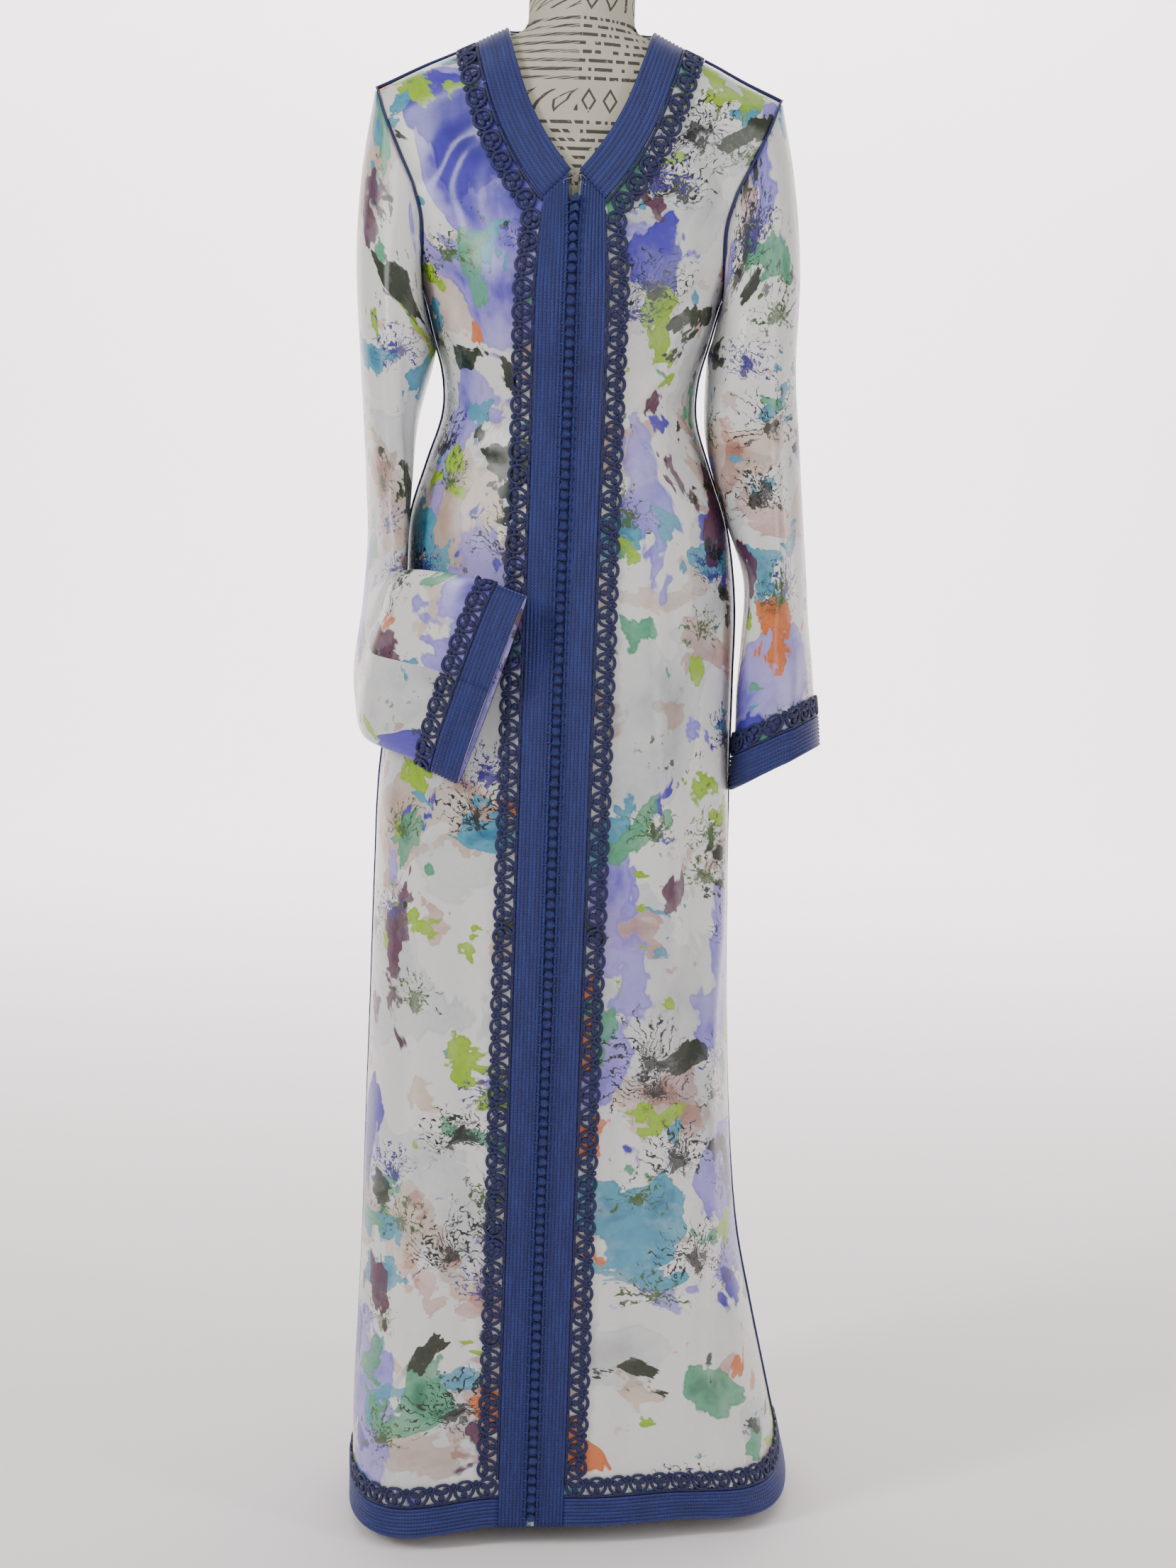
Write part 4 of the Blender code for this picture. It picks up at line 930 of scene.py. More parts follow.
def make_knots(strip, silk, dark):
    """The knots and their loops down the middle, on a band that straddles it."""
    vertices, faces, coordinates = knot_template()
    count = int((FIRST_BUTTON_Z - LAST_BUTTON_Z) / BUTTON_PITCH)
    middle = strip.width / 2
    first = np.interp(LAST_BUTTON_Z, strip.points[:, 1, 2], strip.along)
    last = np.interp(FIRST_BUTTON_Z, strip.points[:, 1, 2], strip.along)
    points, polygons, uv, total = [], [], [], 0
    path = [(s, middle, BACKING_HALF * BACKING_FLAT) for s in even(first, last, TRIM_STEP)]
    backing = tube(path, BACKING_HALF, 10, squash=BACKING_FLAT)
    piece("knot_backing", [(strip.place(np.asarray(backing[0])), backing[1], backing[2])],
          dark, "braid", "button_row")
    for i in range(count):
        s = first + (last - first) * i / (count - 1)
        shift = KNOT_STRAY * math.sin(i * 2.4)
        turn = 0.5 * math.sin(i * 1.7)
        ball = vertices @ np.array(Matrix.Rotation(turn, 3, "Z"))
        local = np.stack([s + ball[:, 1], middle + shift + ball[:, 0],
                          BUTTON_LIFT + KNOT_HIGH + ball[:, 2]], axis=-1)
        parts = [(local, faces, coordinates)]
        for way in (-1, 1):
            path = [(s - 0.0016, middle + way * 0.0088, LOOP_LOW),
                    (s - 0.0010, middle + way * 0.0060, LOOP_HIGH),
                    (s - 0.0034, middle + shift + way * 0.0026, LOOP_HIGH)]
            parts.append(tube(path, LOOP_CORD, 5))
        for local, shape, corner in parts:
            points.append(strip.place(np.asarray(local)))
            polygons += [[k + total for k in face] for face in shape]
            uv.append(corner)
            total += len(local)
    return piece("knots", [(np.concatenate(points), polygons, np.concatenate(uv))],
                 silk, "braid", "button_row")


def cord_parts(strip, radius):
    """A cord along the far edge of a band."""
    count = max(3, int(strip.length / PIPING_STEP))
    s = np.linspace(0, strip.length, count)
    path = np.stack([s, np.full(count, strip.width), np.full(count, CORD_LIFT + radius)], axis=-1)
    vertices, faces, coordinates = tube(path, radius, 8)
    return strip.place(vertices), faces, coordinates


def make_hook(strip, steel):
    """Hook and eye across the top of the slit."""
    middle, s = strip.width / 2, strip.length
    rise = BRAID_LIFT + BRAID_BASE + CORD_HIGH + HOOK_WIRE
    top = s - 0.006
    hook = [(top - 0.0018, middle - 0.0090, rise), (top + 0.0004, middle - 0.0098, rise),
            (top + 0.0016, middle - 0.0080, rise), (top + 0.0006, middle - 0.0050, rise),
            (top + 0.0004, middle + 0.0010, rise), (top, middle + 0.0034, rise + 0.0010),
            (top - 0.0006, middle + 0.0026, rise + 0.0018), (top - 0.0004, middle, rise + 0.0016)]
    eye = [(top + 0.0026, middle + 0.0094, rise), (top + 0.0034, middle + 0.0068, rise),
           (top + 0.0022, middle + 0.0030, rise), (top, middle + 0.0016, rise),
           (top - 0.0022, middle + 0.0030, rise), (top - 0.0034, middle + 0.0068, rise),
           (top - 0.0026, middle + 0.0094, rise)]
    parts = []
    for path in (hook, eye):
        fine = curve_through(np.arange(len(path)), np.array(path)[:, None], np.linspace(0, len(path) - 1, 40))
        vertices, faces, coordinates = tube(fine[:, 0], HOOK_WIRE, 8)
        parts.append((strip.place(vertices), faces, coordinates))
    return piece("hook_and_eye_wire", parts, steel, "hook", "hook_and_eye")


class Shader:
    """Builds one material's nodes: each call adds a node and gives its output."""

    def __init__(self, name, roughness, metallic=0.0):
        self.material = bpy.data.materials.new(name)
        self.material.use_nodes = True
        self.tree = self.material.node_tree
        self.surface = self.tree.nodes["Principled BSDF"]
        self.surface.inputs["Roughness"].default_value = roughness
        self.surface.inputs["Metallic"].default_value = metallic

    def node(self, kind, inputs=None, **settings):
        made = self.tree.nodes.new(kind)
        for key, value in settings.items():
            setattr(made, key, value)
        for key, value in (inputs or {}).items():
            socket = made.inputs[key]
            if hasattr(value, "is_linked"):
                self.tree.links.new(value, socket)
            else:
                socket.default_value = value
        return made

    def math(self, operation, a, b=0.0, c=0.0, clamp=False):
        return self.node("ShaderNodeMath", {0: a, 1: b, 2: c}, operation=operation,
                         use_clamp=clamp).outputs[0]

    def vector(self, operation, a, b=(0.0, 0.0, 0.0)):
        return self.node("ShaderNodeVectorMath", {0: a, 1: b}, operation=operation).outputs[0]

    def scaled(self, vector, scale, shift=(0.0, 0.0, 0.0)):
        return self.node("ShaderNodeMapping", {"Vector": vector, "Scale": scale,
                                               "Location": shift}).outputs[0]

    def noise(self, vector, scale, detail=2.0, rough=0.5, distortion=0.0, colour=False):
        made = self.node("ShaderNodeTexNoise", {"Vector": vector, "Scale": scale, "Detail": detail,
                                                "Roughness": rough, "Distortion": distortion})
        return made.outputs["Color" if colour else "Fac"]

    def step(self, value, low, high):
        """0 below low, 1 above high, smooth between."""
        return self.node("ShaderNodeMapRange", {"Value": value, "From Min": low, "From Max": high},
                         interpolation_type="SMOOTHSTEP").outputs[0]

    def mix(self, part, a, b, blend="MIX"):
        made = self.node("ShaderNodeMix", data_type="RGBA", blend_type=blend)
        for socket, value in ((made.inputs[0], part), (made.inputs[6], a), (made.inputs[7], b)):
            if hasattr(value, "is_linked"):
                self.tree.links.new(value, socket)
            else:
                socket.default_value = value if isinstance(value, float) else (*value, 1.0)
        return made.outputs[2]

    def uv(self):
        return self.node("ShaderNodeUVMap", uv_map="UVMap").outputs[0]

    def position(self):
        return self.node("ShaderNodeTexCoord").outputs["Object"]

    def split(self, vector):
        return self.node("ShaderNodeSeparateXYZ", {0: vector}).outputs

    def joined(self, x, y, z=0.0):
        return self.node("ShaderNodeCombineXYZ", {0: x, 1: y, 2: z}).outputs[0]

    def bump(self, height, distance, strength=1.0, below=None):
        made = self.node("ShaderNodeBump", {"Height": height, "Distance": distance, "Strength": strength})
        if below is not None:
            self.tree.links.new(below, made.inputs["Normal"])
        return made.outputs[0]

    def finish(self, colour=None, normal=None, roughness=None):
        for name, value in (("Base Color", colour), ("Normal", normal), ("Roughness", roughness)):
            if value is not None:
                self.tree.links.new(value, self.surface.inputs[name])
        return self.material


def srgb(red, green, blue):
    """Linear colour of a screen colour from 0 to 255."""
    return tuple((c / 255 / 12.92) if c <= 10 else ((c / 255 + 0.055) / 1.055) ** 2.4
                 for c in (red, green, blue))


FAINT_WASH = 0.7          # washes weaker than this darken what lies below

# Washes of the watercolour print, in the order in which they are laid, the first grey one
# being painted shade of the satin's folds rather than print: the size of a blotch (bigger
# numbers are smaller blotches), how stretched it is, the threshold (higher is rarer), how strong, its colour,
# and the colour at its heart.
# scale, stretch, threshold, strength, colour, heart, seed
WASHES = (
    # painted shade: a grey wash that paints soft fold shade over the satin in random patches
    (5.0, 1.0, 0.520, 0.70, srgb(190, 194, 194), srgb(160, 160, 166), 1.0),
    (6.0, 1.3, 0.57, 0.68, srgb(226, 192, 166), srgb(206, 150, 112), 7.3),
    (8.0, 1.2, 0.60, 0.68, srgb(218, 160, 150), srgb(190, 110, 104), 61.7),
    (6.0, 0.8, 0.562, 1.00, srgb(140, 130, 210), srgb(66, 56, 168), 13.1),
    (6.5, 0.7, 0.588, 1.10, srgb(66, 54, 168), srgb(30, 22, 128), 29.4),
    (8.5, 1.2, 0.604, 1.05, srgb(76, 148, 172), srgb(18, 92, 130), 37.9),
    (9.0, 1.0, 0.610, 1.05, srgb(84, 154, 118), srgb(34, 104, 72), 43.2),
    (9.5, 1.1, 0.606, 1.10, srgb(144, 182, 30), srgb(80, 122, 6), 53.8),
    (8.5, 0.9, 0.655, 1.00, srgb(204, 112, 52), srgb(172, 66, 24), 71.5),
    (8.0, 0.8, 0.632, 1.05, srgb(90, 50, 74), srgb(34, 16, 34), 83.6),
    (10.5, 1.1, 0.636, 1.10, srgb(38, 48, 26), srgb(10, 14, 8), 97.2),
)


def wash(shader, place, below, scale, stretch, threshold, strength, colour, heart, seed):
    """One wash of thin paint, darker where it dried at its edge; it also lays the grey wash of painted fold
    shade.
    """
    at = shader.scaled(place, (scale, scale * stretch, scale), (seed, seed * 0.37, seed * 1.9))
    shape = shader.noise(at, 1.0, 5.0, 0.55, 0.35)
    mask = shader.step(shape, threshold, threshold + 0.012)
    inner = shader.step(shape, threshold + 0.02, threshold + 0.11)
    rim = shader.math("SUBTRACT", mask, shader.step(shape, threshold + 0.012, threshold + 0.026))
    cloud = shader.step(shader.noise(at, 2.6, 4.0, 0.6), 0.30, 0.70)
    depth = shader.math("MULTIPLY", inner, cloud)
    paint = shader.mix(depth, colour, heart)
    paint = shader.mix(shader.math("MULTIPLY", rim, 0.35), paint, heart)
    amount = shader.math("MULTIPLY", mask, shader.math("MULTIPLY_ADD", cloud, 0.35, strength - 0.25))
    blend = "MULTIPLY" if strength < FAINT_WASH else "MIX"
    return shader.mix(shader.math("MINIMUM", amount, 1.0), below, paint, blend)


def sprigs(shader, place, cells, rays, seed, reach, width):
    """Ink sprigs: fine rays that spread from the middles of scattered cells."""
    at = shader.scaled(place, (cells, cells, 1.0), (seed, seed * 1.3, 0.0))
    stray = shader.vector("SUBTRACT", shader.noise(at, 7.0, 3.0, 0.6, colour=True), (0.5, 0.5, 0.5))
    at = shader.vector("ADD", at, shader.vector("MULTIPLY", stray, (0.30, 0.30, 0.0)))
    flat = shader.vector("MULTIPLY", at, (1.0, 1.0, 0.0))
    cell = shader.node("ShaderNodeTexVoronoi", {"Vector": flat, "Scale": 1.0, "Randomness": 0.85},
                       voronoi_dimensions="2D")
    away = shader.vector("SUBTRACT", flat, cell.outputs["Position"])
    x, y, _ = shader.split(away)
    far = shader.node("ShaderNodeVectorMath", {0: away}, operation="LENGTH").outputs["Value"]
    turn = shader.math("ARCTAN2", x, y)
    wobble = shader.noise(flat, 9.0, 3.0, 0.6)
    spoke = shader.math("FRACT", shader.math("MULTIPLY_ADD", wobble, 1.3, shader.math(
        "MULTIPLY", turn, rays / math.tau)))
    line = shader.math("ABSOLUTE", shader.math("SUBTRACT", spoke, 0.5))
    thin = shader.math("MULTIPLY", line, far)
    drawn = shader.math("SUBTRACT", 1.0, shader.step(thin, width, width * 1.9))
    fan = shader.step(shader.math("MULTIPLY_ADD", wobble, 1.6, shader.math("COSINE", turn)), 0.15, 0.5)
    edge = shader.math("MULTIPLY_ADD", wobble, -reach * 0.9, reach * 1.45)
    inside = shader.math("SUBTRACT", 1.0, shader.step(shader.math("DIVIDE", far, edge), 0.9, 1.0))
    pick = shader.split(cell.outputs["Color"])[0]
    chosen = shader.step(pick, 0.56, 0.58)
    blot = shader.math("SUBTRACT", 1.0, shader.step(shader.math(
        "MULTIPLY_ADD", shader.noise(flat, 16.0, 3.0, 0.7), reach * 1.4, far), reach * 0.86, reach * 0.94))
    broken = shader.step(shader.noise(flat, 22.0, 2.0, 0.7), 0.40, 0.52)
    strokes = shader.math("MULTIPLY", shader.math("MULTIPLY", drawn, fan), broken)
    drawn = shader.math("MAXIMUM", strokes, shader.math("MULTIPLY", blot, 0.9))
    whole = shader.math("MULTIPLY", drawn, inside)
    return shader.math("MULTIPLY", whole, chosen), cell.outputs["Color"]


def make_satin():
    """Off-white satin with a loose watercolour print of the builder's own, and a grey wash of painted shade
    for its folds.
    """
    shader = Shader("printed_satin", SATIN_ROUGH)
    uv = shader.uv()
    bend = shader.noise(uv, 6.0, 3.0, 0.5, colour=True)
    place = shader.vector("ADD", uv, shader.vector("MULTIPLY", shader.vector(
        "SUBTRACT", bend, (0.5, 0.5, 0.5)), (0.05, 0.05, 0.0)))
    colour = shader.mix(shader.noise(uv, 3.0, 2.0), srgb(224, 224, 219), srgb(206, 206, 202))
    for row in WASHES:
        colour = wash(shader, place, colour, *row)
    for cells, rays, seed, reach, width, ink in SPRIGS:
        drawn, _ = sprigs(shader, place, cells, rays, seed, reach, width)
        colour = shader.mix(drawn, colour, ink)
    speck = shader.noise(shader.scaled(place, (70.0, 70.0, 1.0), (5.0, 9.0, 0.0)), 1.0, 3.0, 0.65)
    patch = shader.step(shader.noise(place, 7.0, 2.0), 0.60, 0.66)
    dots = shader.math("MULTIPLY", shader.step(speck, 0.60, 0.63), patch)
    colour = shader.mix(shader.math("MULTIPLY", dots, 0.85), colour, srgb(40, 44, 40))
    weave = shader.node("ShaderNodeTexWave", {"Vector": shader.scaled(uv, (1.0, 0.12, 1.0)), "Scale": 900.0,
                                              "Distortion": 2.0, "Detail": 1.0}, bands_direction="X")
    ripple = shader.noise(shader.scaled(uv, (26.0, 7.0, 1.0)), 1.0, 3.0, 0.5)
    fine = shader.bump(weave.outputs["Fac"], 0.00004, 0.35)
    drape = shader.noise(shader.scaled(uv, (11.0, 2.4, 1.0)), 1.0, 3.0, 0.5, 0.6)
    normal = shader.bump(drape, 0.003, 0.5, shader.bump(ripple, 0.0016, 0.5, fine))
    rough = shader.math("MULTIPLY_ADD", shader.noise(uv, 40.0, 2.0), 0.10, SATIN_ROUGH - 0.05)
    shader.surface.inputs["Specular IOR Level"].default_value = 0.62
    shader.surface.inputs["Sheen Weight"].default_value = 0.06
    shader.surface.inputs["Sheen Roughness"].default_value = 0.35
    shader.surface.inputs["Coat Weight"].default_value = 0.12
    shader.surface.inputs["Coat Roughness"].default_value = 0.30
    return shader.finish(colour, normal, rough)


# Ink sprigs of the print.
# cells, rays, seed, reach, width, ink
SPRIGS = (
    (7.0, 20.0, 3.0, 0.34, 0.018, srgb(26, 30, 26)),
    (8.5, 18.0, 17.0, 0.32, 0.018, srgb(50, 38, 120)),
    (9.5, 14.0, 41.0, 0.34, 0.020, srgb(58, 84, 26)),
    (6.0, 24.0, 59.0, 0.30, 0.015, srgb(18, 22, 20)),
)


def make_braid():
    """Blue silk cords laid side by side, each plaited, with painted shade in the grooves and plait hollows
    and painted highlights in patches.
    """
    shader = Shader("braid_silk", 0.52)
    x, y, _ = shader.split(shader.uv())
    across = shader.math("ABSOLUTE", shader.math("SUBTRACT", shader.math("FRACT", x), 0.5))
    slant = shader.math("MULTIPLY_ADD", across, 0.0042, y)
    plait = shader.math("SINE", shader.math("MULTIPLY", slant, math.tau / PLAIT_PITCH))
    plait = shader.math("MULTIPLY_ADD", plait, 0.5, 0.5)
    painted_groove_shade = shader.step(across, 0.36, 0.50)
    thread = shader.noise(shader.scaled(shader.uv(), (14.0, 900.0, 1.0)), 1.0, 2.0, 0.6)
    tone = shader.noise(shader.scaled(shader.uv(), (0.6, 22.0, 1.0)), 1.0, 3.0, 0.6)
    # partly painted shade: the plait wave that drives the bump also lightens the crests and darkens the
    # hollows; the thread noise is real tone
    colour = shader.mix(shader.math("MULTIPLY_ADD", plait, 0.45, shader.math("MULTIPLY", thread, 0.4)),
                        srgb(5, 12, 62), srgb(24, 44, 124))
    # painted highlight: random patches along the braid are lifted to a lighter blue
    painted_highlight = shader.math("MULTIPLY", shader.step(tone, 0.35, 0.75), 0.35)
    colour = shader.mix(painted_highlight, colour, srgb(38, 62, 150))
    # painted shade: the grooves between the cords are darkened to near black blue
    colour = shader.mix(shader.math("MULTIPLY", painted_groove_shade, 0.9), colour, srgb(5, 10, 50))
    normal = shader.bump(plait, 0.0004, 0.8, shader.bump(thread, 0.0001, 0.5))
    shader.surface.inputs["Sheen Weight"].default_value = 0.08
    shader.surface.inputs["Sheen Roughness"].default_value = 0.4
    return shader.finish(colour, normal)


def make_cord(name, dark, light, roughness=0.55):
    """Twisted cord: the UV map runs round the cord and along it. The colour is darker in the twist's hollows,
    painted shade of the relief, over a random fuzz of tone.
    """
    shader = Shader(name, roughness)
    x, y, _ = shader.split(shader.uv())
    slant = shader.math("MULTIPLY_ADD", y, 1.0 / CORD_TWIST, x)
    twist = shader.math("SINE", shader.math("MULTIPLY", slant, math.tau))
    twist = shader.math("MULTIPLY_ADD", twist, 0.5, 0.5)
    fuzz = shader.noise(shader.position(), 1400.0, 2.0, 0.7)
    # partly painted shade: the twist that drives the bump also darkens the hollows; the fuzz is real tone
    tone = shader.math("MULTIPLY_ADD", fuzz, 0.5, shader.math("MULTIPLY", twist, 0.5))
    colour = shader.mix(tone, dark, light)
    normal = shader.bump(twist, 0.0003, 0.7, shader.bump(fuzz, 0.0001, 0.4))
    shader.surface.inputs["Sheen Weight"].default_value = 0.05
    return shader.finish(colour, normal)


def make_form_cover():
    """Ecru cotton with rows of plain marks: bars, diamonds and dashes."""
    shader = Shader("form_cotton", 0.9)
    uv = shader.uv()
    x, y, _ = shader.split(uv)
    row = shader.math("DIVIDE", y, PRINT_ROW)
    number = shader.math("FLOOR", row)
    height = shader.math("FRACT", row)
    kind = shader.math("FLOORED_MODULO", number, 3.0)
    large = shader.math("LESS_THAN", kind, 0.5)
    cell = shader.math("DIVIDE", x, PRINT_CELL)
    inside = shader.math("ABSOLUTE", shader.math("SUBTRACT", shader.math("FRACT", cell), 0.5))
    level = shader.math("ABSOLUTE", shader.math("SUBTRACT", height, 0.5))
    diamond = shader.math("ADD", inside, level)
    outline = shader.math("MULTIPLY", shader.math("LESS_THAN", diamond, 0.36),
                          shader.math("GREATER_THAN", diamond, 0.24))
    bars = shader.math("MULTIPLY", shader.math("LESS_THAN", inside, 0.10),
                       shader.math("LESS_THAN", level, 0.30))
    turn = shader.math("GREATER_THAN", shader.math("FRACT", shader.math("MULTIPLY", shader.math(
        "FLOOR", cell), 0.37)), 0.5)
    big = shader.mix(turn, outline, bars)
    fine_row = shader.math("MULTIPLY", height, 4.0)
    fine_cell = shader.joined(shader.math("FLOOR", shader.math("DIVIDE", x, PRINT_CELL / 7)),
                              shader.math("ADD", shader.math("FLOOR", fine_row), shader.math(
                                  "MULTIPLY", number, 9.0)))
    random = shader.node("ShaderNodeTexWhiteNoise", {"Vector": fine_cell},
                         noise_dimensions="2D").outputs["Value"]
    off_middle = shader.math("ABSOLUTE", shader.math("SUBTRACT", shader.math("FRACT", fine_row), 0.5))
    dash = shader.math("MULTIPLY", shader.math("GREATER_THAN", random, 0.30),
                       shader.math("LESS_THAN", off_middle, 0.20))
    marks = shader.mix(large, dash, big)
    worn = shader.step(shader.noise(uv, 160.0, 3.0, 0.7), 0.30, 0.42)
    weave = shader.noise(shader.scaled(uv, (900.0, 900.0, 1.0)), 1.0, 2.0, 0.6)
    cloth = shader.mix(shader.noise(uv, 12.0, 3.0), srgb(196, 190, 170), srgb(178, 171, 152))
    ink = shader.math("MULTIPLY", shader.math("MULTIPLY", marks, worn), 0.9)
    colour = shader.mix(ink, cloth, srgb(34, 32, 32))
    return shader.finish(colour, shader.bump(weave, 0.00012, 0.6))


def make_metal(name, dark, light, roughness, metallic):
    shader = Shader(name, roughness, metallic)
    place = shader.position()
    grain = shader.noise(shader.scaled(place, (300.0, 300.0, 60.0)), 1.0, 3.0, 0.6)
    colour = shader.mix(shader.noise(place, 40.0, 3.0), dark, light)
    rough = shader.math("MULTIPLY_ADD", grain, 0.15, roughness - 0.07)
    return shader.finish(colour, shader.bump(grain, 0.00008, 0.4), rough)


def form_ring(z, inset, count):
    """One level ring of the dress form, clear of the cloth by the inset."""
    middle, half, front, back, _, square = section(z)
    half -= abs(middle) + inset
    turns = np.arange(count) * math.tau / count
    neck = FORM_NECK if z > FORM_NECK_FROM else 0.0
    ease = FORM_BACK_EASE * ramp((RIDGE_Z - 0.04 - z) / 0.03)
    limit = half
    if z > UNDERARM_Z:
        arm = [(way_to_z(x, way), x) for x, way in ARMHOLE]
        limit = min(limit, smooth_value(arm, 1, z) - FORM_ARM_GAP)
        ridge = (RIDGE_Z - FORM_SHIFT - z) / RIDGE_SLOPE
        if z > FORM_TIP_FROM:
            ridge = max(ridge, 0.0)
            limit = min(limit, (ridge ** 8 + neck ** 8) ** 0.125)
    ring = []
    for turn in turns:
        x = limit * math.sin(turn)
        facing = math.cos(turn)
        depth = front if facing > 0 else back - ease
        part = max(1 - (abs(x) / half) ** square, 0.0) ** (1 / square)
        fall = min(max((ridge_z(x) - FORM_SHIFT - z) / ROUND_DROP, 0.0), 1.0)
        body = (depth - inset) * part * math.sqrt(1 - (1 - fall) ** 2)
        reach = FORM_NECK_FRONT if facing > 0 else FORM_NECK_BACK
        column = reach * math.sqrt(max(1 - (x / neck) ** 2, 0.0)) if neck else 0.0
        deep = (body ** 4 + column ** 4) ** 0.25
        mound = fold_height(turn, z) if z > FORM_MOUND_FROM else 0.0
        ring.append((x, -math.copysign(deep, facing) - mound * facing, z))
    return ring


def make_form(cotton):
    """The padded form in its cotton cover, closed at both ends."""
    heights = np.concatenate([even(FORM_BOTTOM, 1.38, 0.02), even(1.39, 1.56, 0.006),
                              even(1.57, FORM_TOP, 0.01)])
    rings = [form_ring(z, smooth_value(FORM_ROWS, 1, z), FORM_TURNS) for z in heights]
    points = np.array(rings)
    points = np.concatenate([points, points[:, :1]], axis=1)
    around = arc_lengths(points, 1)
    prints = np.stack([around, np.broadcast_to(heights[:, None], around.shape)], axis=-1)
    faces = grid_faces(len(heights), FORM_TURNS + 1).tolist()
    size = FORM_TURNS + 1
    faces.append(list(range(FORM_TURNS - 1, -1, -1)))
    faces.append([(len(heights) - 1) * size + i for i in range(FORM_TURNS)])
    obj = mesh_object("form_cover", points, faces, prints, cotton)
    work = bmesh.new()
    work.from_mesh(obj.data)
    bmesh.ops.remove_doubles(work, verts=work.verts, dist=WELD / 4)
    bmesh.ops.recalc_face_normals(work, faces=work.faces)
    work.to_mesh(obj.data)
    work.free()
    obj.data.set_sharp_from_angle(angle=math.radians(50))
    return belongs(obj, "form_cover", "form_torso")


def make_camera():
    """The photograph's viewpoint, with its small roll."""
    pitch, roll = math.radians(CAMERA_PITCH), math.radians(CAMERA_ROLL)
    right, up = Vector((1, 0, 0)), Vector((0, math.sin(pitch), math.cos(pitch)))
    back = Vector((0, -math.cos(pitch), math.sin(pitch)))
    x_axis = right * math.cos(roll) + up * math.sin(roll)
    y_axis = up * math.cos(roll) - right * math.sin(roll)
    turn = Matrix((x_axis, y_axis, back)).transposed()
    data = bpy.data.cameras.new("camera")
    data.lens = CAMERA_LENS
    data.sensor_width = 36.0
    camera = bpy.data.objects.new("camera", data)
    camera.matrix_world = Matrix.Translation(CAMERA_PLACE) @ turn.to_4x4()
    bpy.context.scene.collection.objects.link(camera)
    bpy.context.scene.camera = camera


def make_studio():
    """A pale floor that curves up into a wall, soft lamps and a pale sky."""
    shader = Shader("studio_paper", 0.9)
    grain = shader.noise(shader.position(), 3.0, 2.0)
    paper = shader.finish(shader.mix(grain, srgb(250, 242, 242), srgb(248, 240, 240)))
    shader.surface.inputs["Specular IOR Level"].default_value = 0.1
    profile = [(-7.0, 0.0), (STUDIO_BACK, 0.0)]
    profile += [(STUDIO_BACK + STUDIO_CURVE * math.sin(a), STUDIO_CURVE * (1 - math.cos(a)))
                for a in np.linspace(0.1, math.pi / 2, 16)]
    profile.append((STUDIO_BACK + STUDIO_CURVE, 7.0))
    points = np.array([[(x, y, z) for x in (-9.0, 9.0)] for y, z in profile])
    floor = mesh_object("studio_floor", points, grid_faces(len(profile), 2)[:, ::-1],
                        points[..., :2], paper)
    for name, place, aim, size, power in LAMPS:
        data = bpy.data.lights.new(name, "AREA")
        data.shape = "RECTANGLE"
        data.size, data.size_y = size
        data.energy = power
        lamp = bpy.data.objects.new(name, data)
        lamp.location = place
        lamp.rotation_euler = (Vector(aim) - Vector(place)).to_track_quat("-Z", "Y").to_euler()
        bpy.context.scene.collection.objects.link(lamp)
    world = bpy.data.worlds.new("studio")
    world.use_nodes = True
    background = world.node_tree.nodes["Background"]
    background.inputs["Color"].default_value = (*srgb(240, 238, 240), 1.0)
    background.inputs["Strength"].default_value = WORLD_LIGHT
    bpy.context.scene.world = world


# Creases of the sleeves: the turn round the sleeve (0 the shoulder, 4 the front, 8 under
# the arm, 12 the back), the way down from the armhole, the spread in turns, the half length,
# how far it stands out, and how far it leans round the sleeve.
# turn, way, spread, half, height, lean
BENT_CREASES = (
    (3.6, 0.16, 0.55, 0.110, 0.0040, 0.4),
    (2.4, 0.22, 0.50, 0.120, -0.0034, -0.3),
    (5.0, 0.24, 0.55, 0.100, -0.0036, 0.3),
    (3.8, 0.38, 0.60, 0.060, 0.0044, 1.0),
    (5.2, 0.42, 0.50, 0.040, -0.0048, 1.4),
    (2.6, 0.44, 0.60, 0.035, -0.0040, -1.2),
    (6.4, 0.46, 0.60, 0.030, 0.0036, 1.4),
    (3.4, 0.47, 0.50, 0.030, 0.0040, 1.3),
    (1.4, 0.50, 0.60, 0.045, -0.0030, 0.6),
    (7.0, 0.55, 0.60, 0.050, -0.0026, 0.8),
    (12.0, 0.20, 0.70, 0.130, 0.0036, 0.3),
    (10.4, 0.28, 0.60, 0.110, -0.0036, -0.3),
    (13.6, 0.34, 0.60, 0.090, -0.0034, 0.4),
)
HANGING_CREASES = (
    (3.0, 0.34, 0.60, 0.150, 0.0048, 0.5),
    (4.3, 0.36, 0.55, 0.140, -0.0040, 0.4),
    (1.6, 0.30, 0.60, 0.130, -0.0034, -0.3),
    (5.6, 0.26, 0.60, 0.100, 0.0036, 0.5),
    (2.2, 0.52, 0.50, 0.060, 0.0030, 0.4),
    (3.8, 0.50, 0.55, 0.060, -0.0030, -0.4),
    (6.6, 0.42, 0.60, 0.080, -0.0034, 0.5),
    (5.0, 0.12, 0.50, 0.050, -0.0026, 0.9),
    (12.4, 0.30, 0.70, 0.150, 0.0042, 0.3),
    (10.8, 0.36, 0.60, 0.120, -0.0038, -0.3),
    (14.0, 0.40, 0.60, 0.100, -0.0036, 0.4),
)


def trim_rows():
    """Where the placket's trims run: heights of the skirt, then steps up to the mitre."""
    lower = [(z, None) for z in even(HEM_Z, UNDERARM_Z, TRIM_STEP)]
    return lower + [(None, step) for step in even(0, MITRE_STEP, 0.08)[1:]]


def placket_strip(side, low, high, start=0, end=None):
    rows = []
    for z, step in trim_rows()[start:end]:
        columns = np.linspace(low, high, TRIM_POINTS)
        rows.append([lower_front(side, z, c) if step is None else upper_front(side, step, c)
                     for c in columns])
    return band(rows)


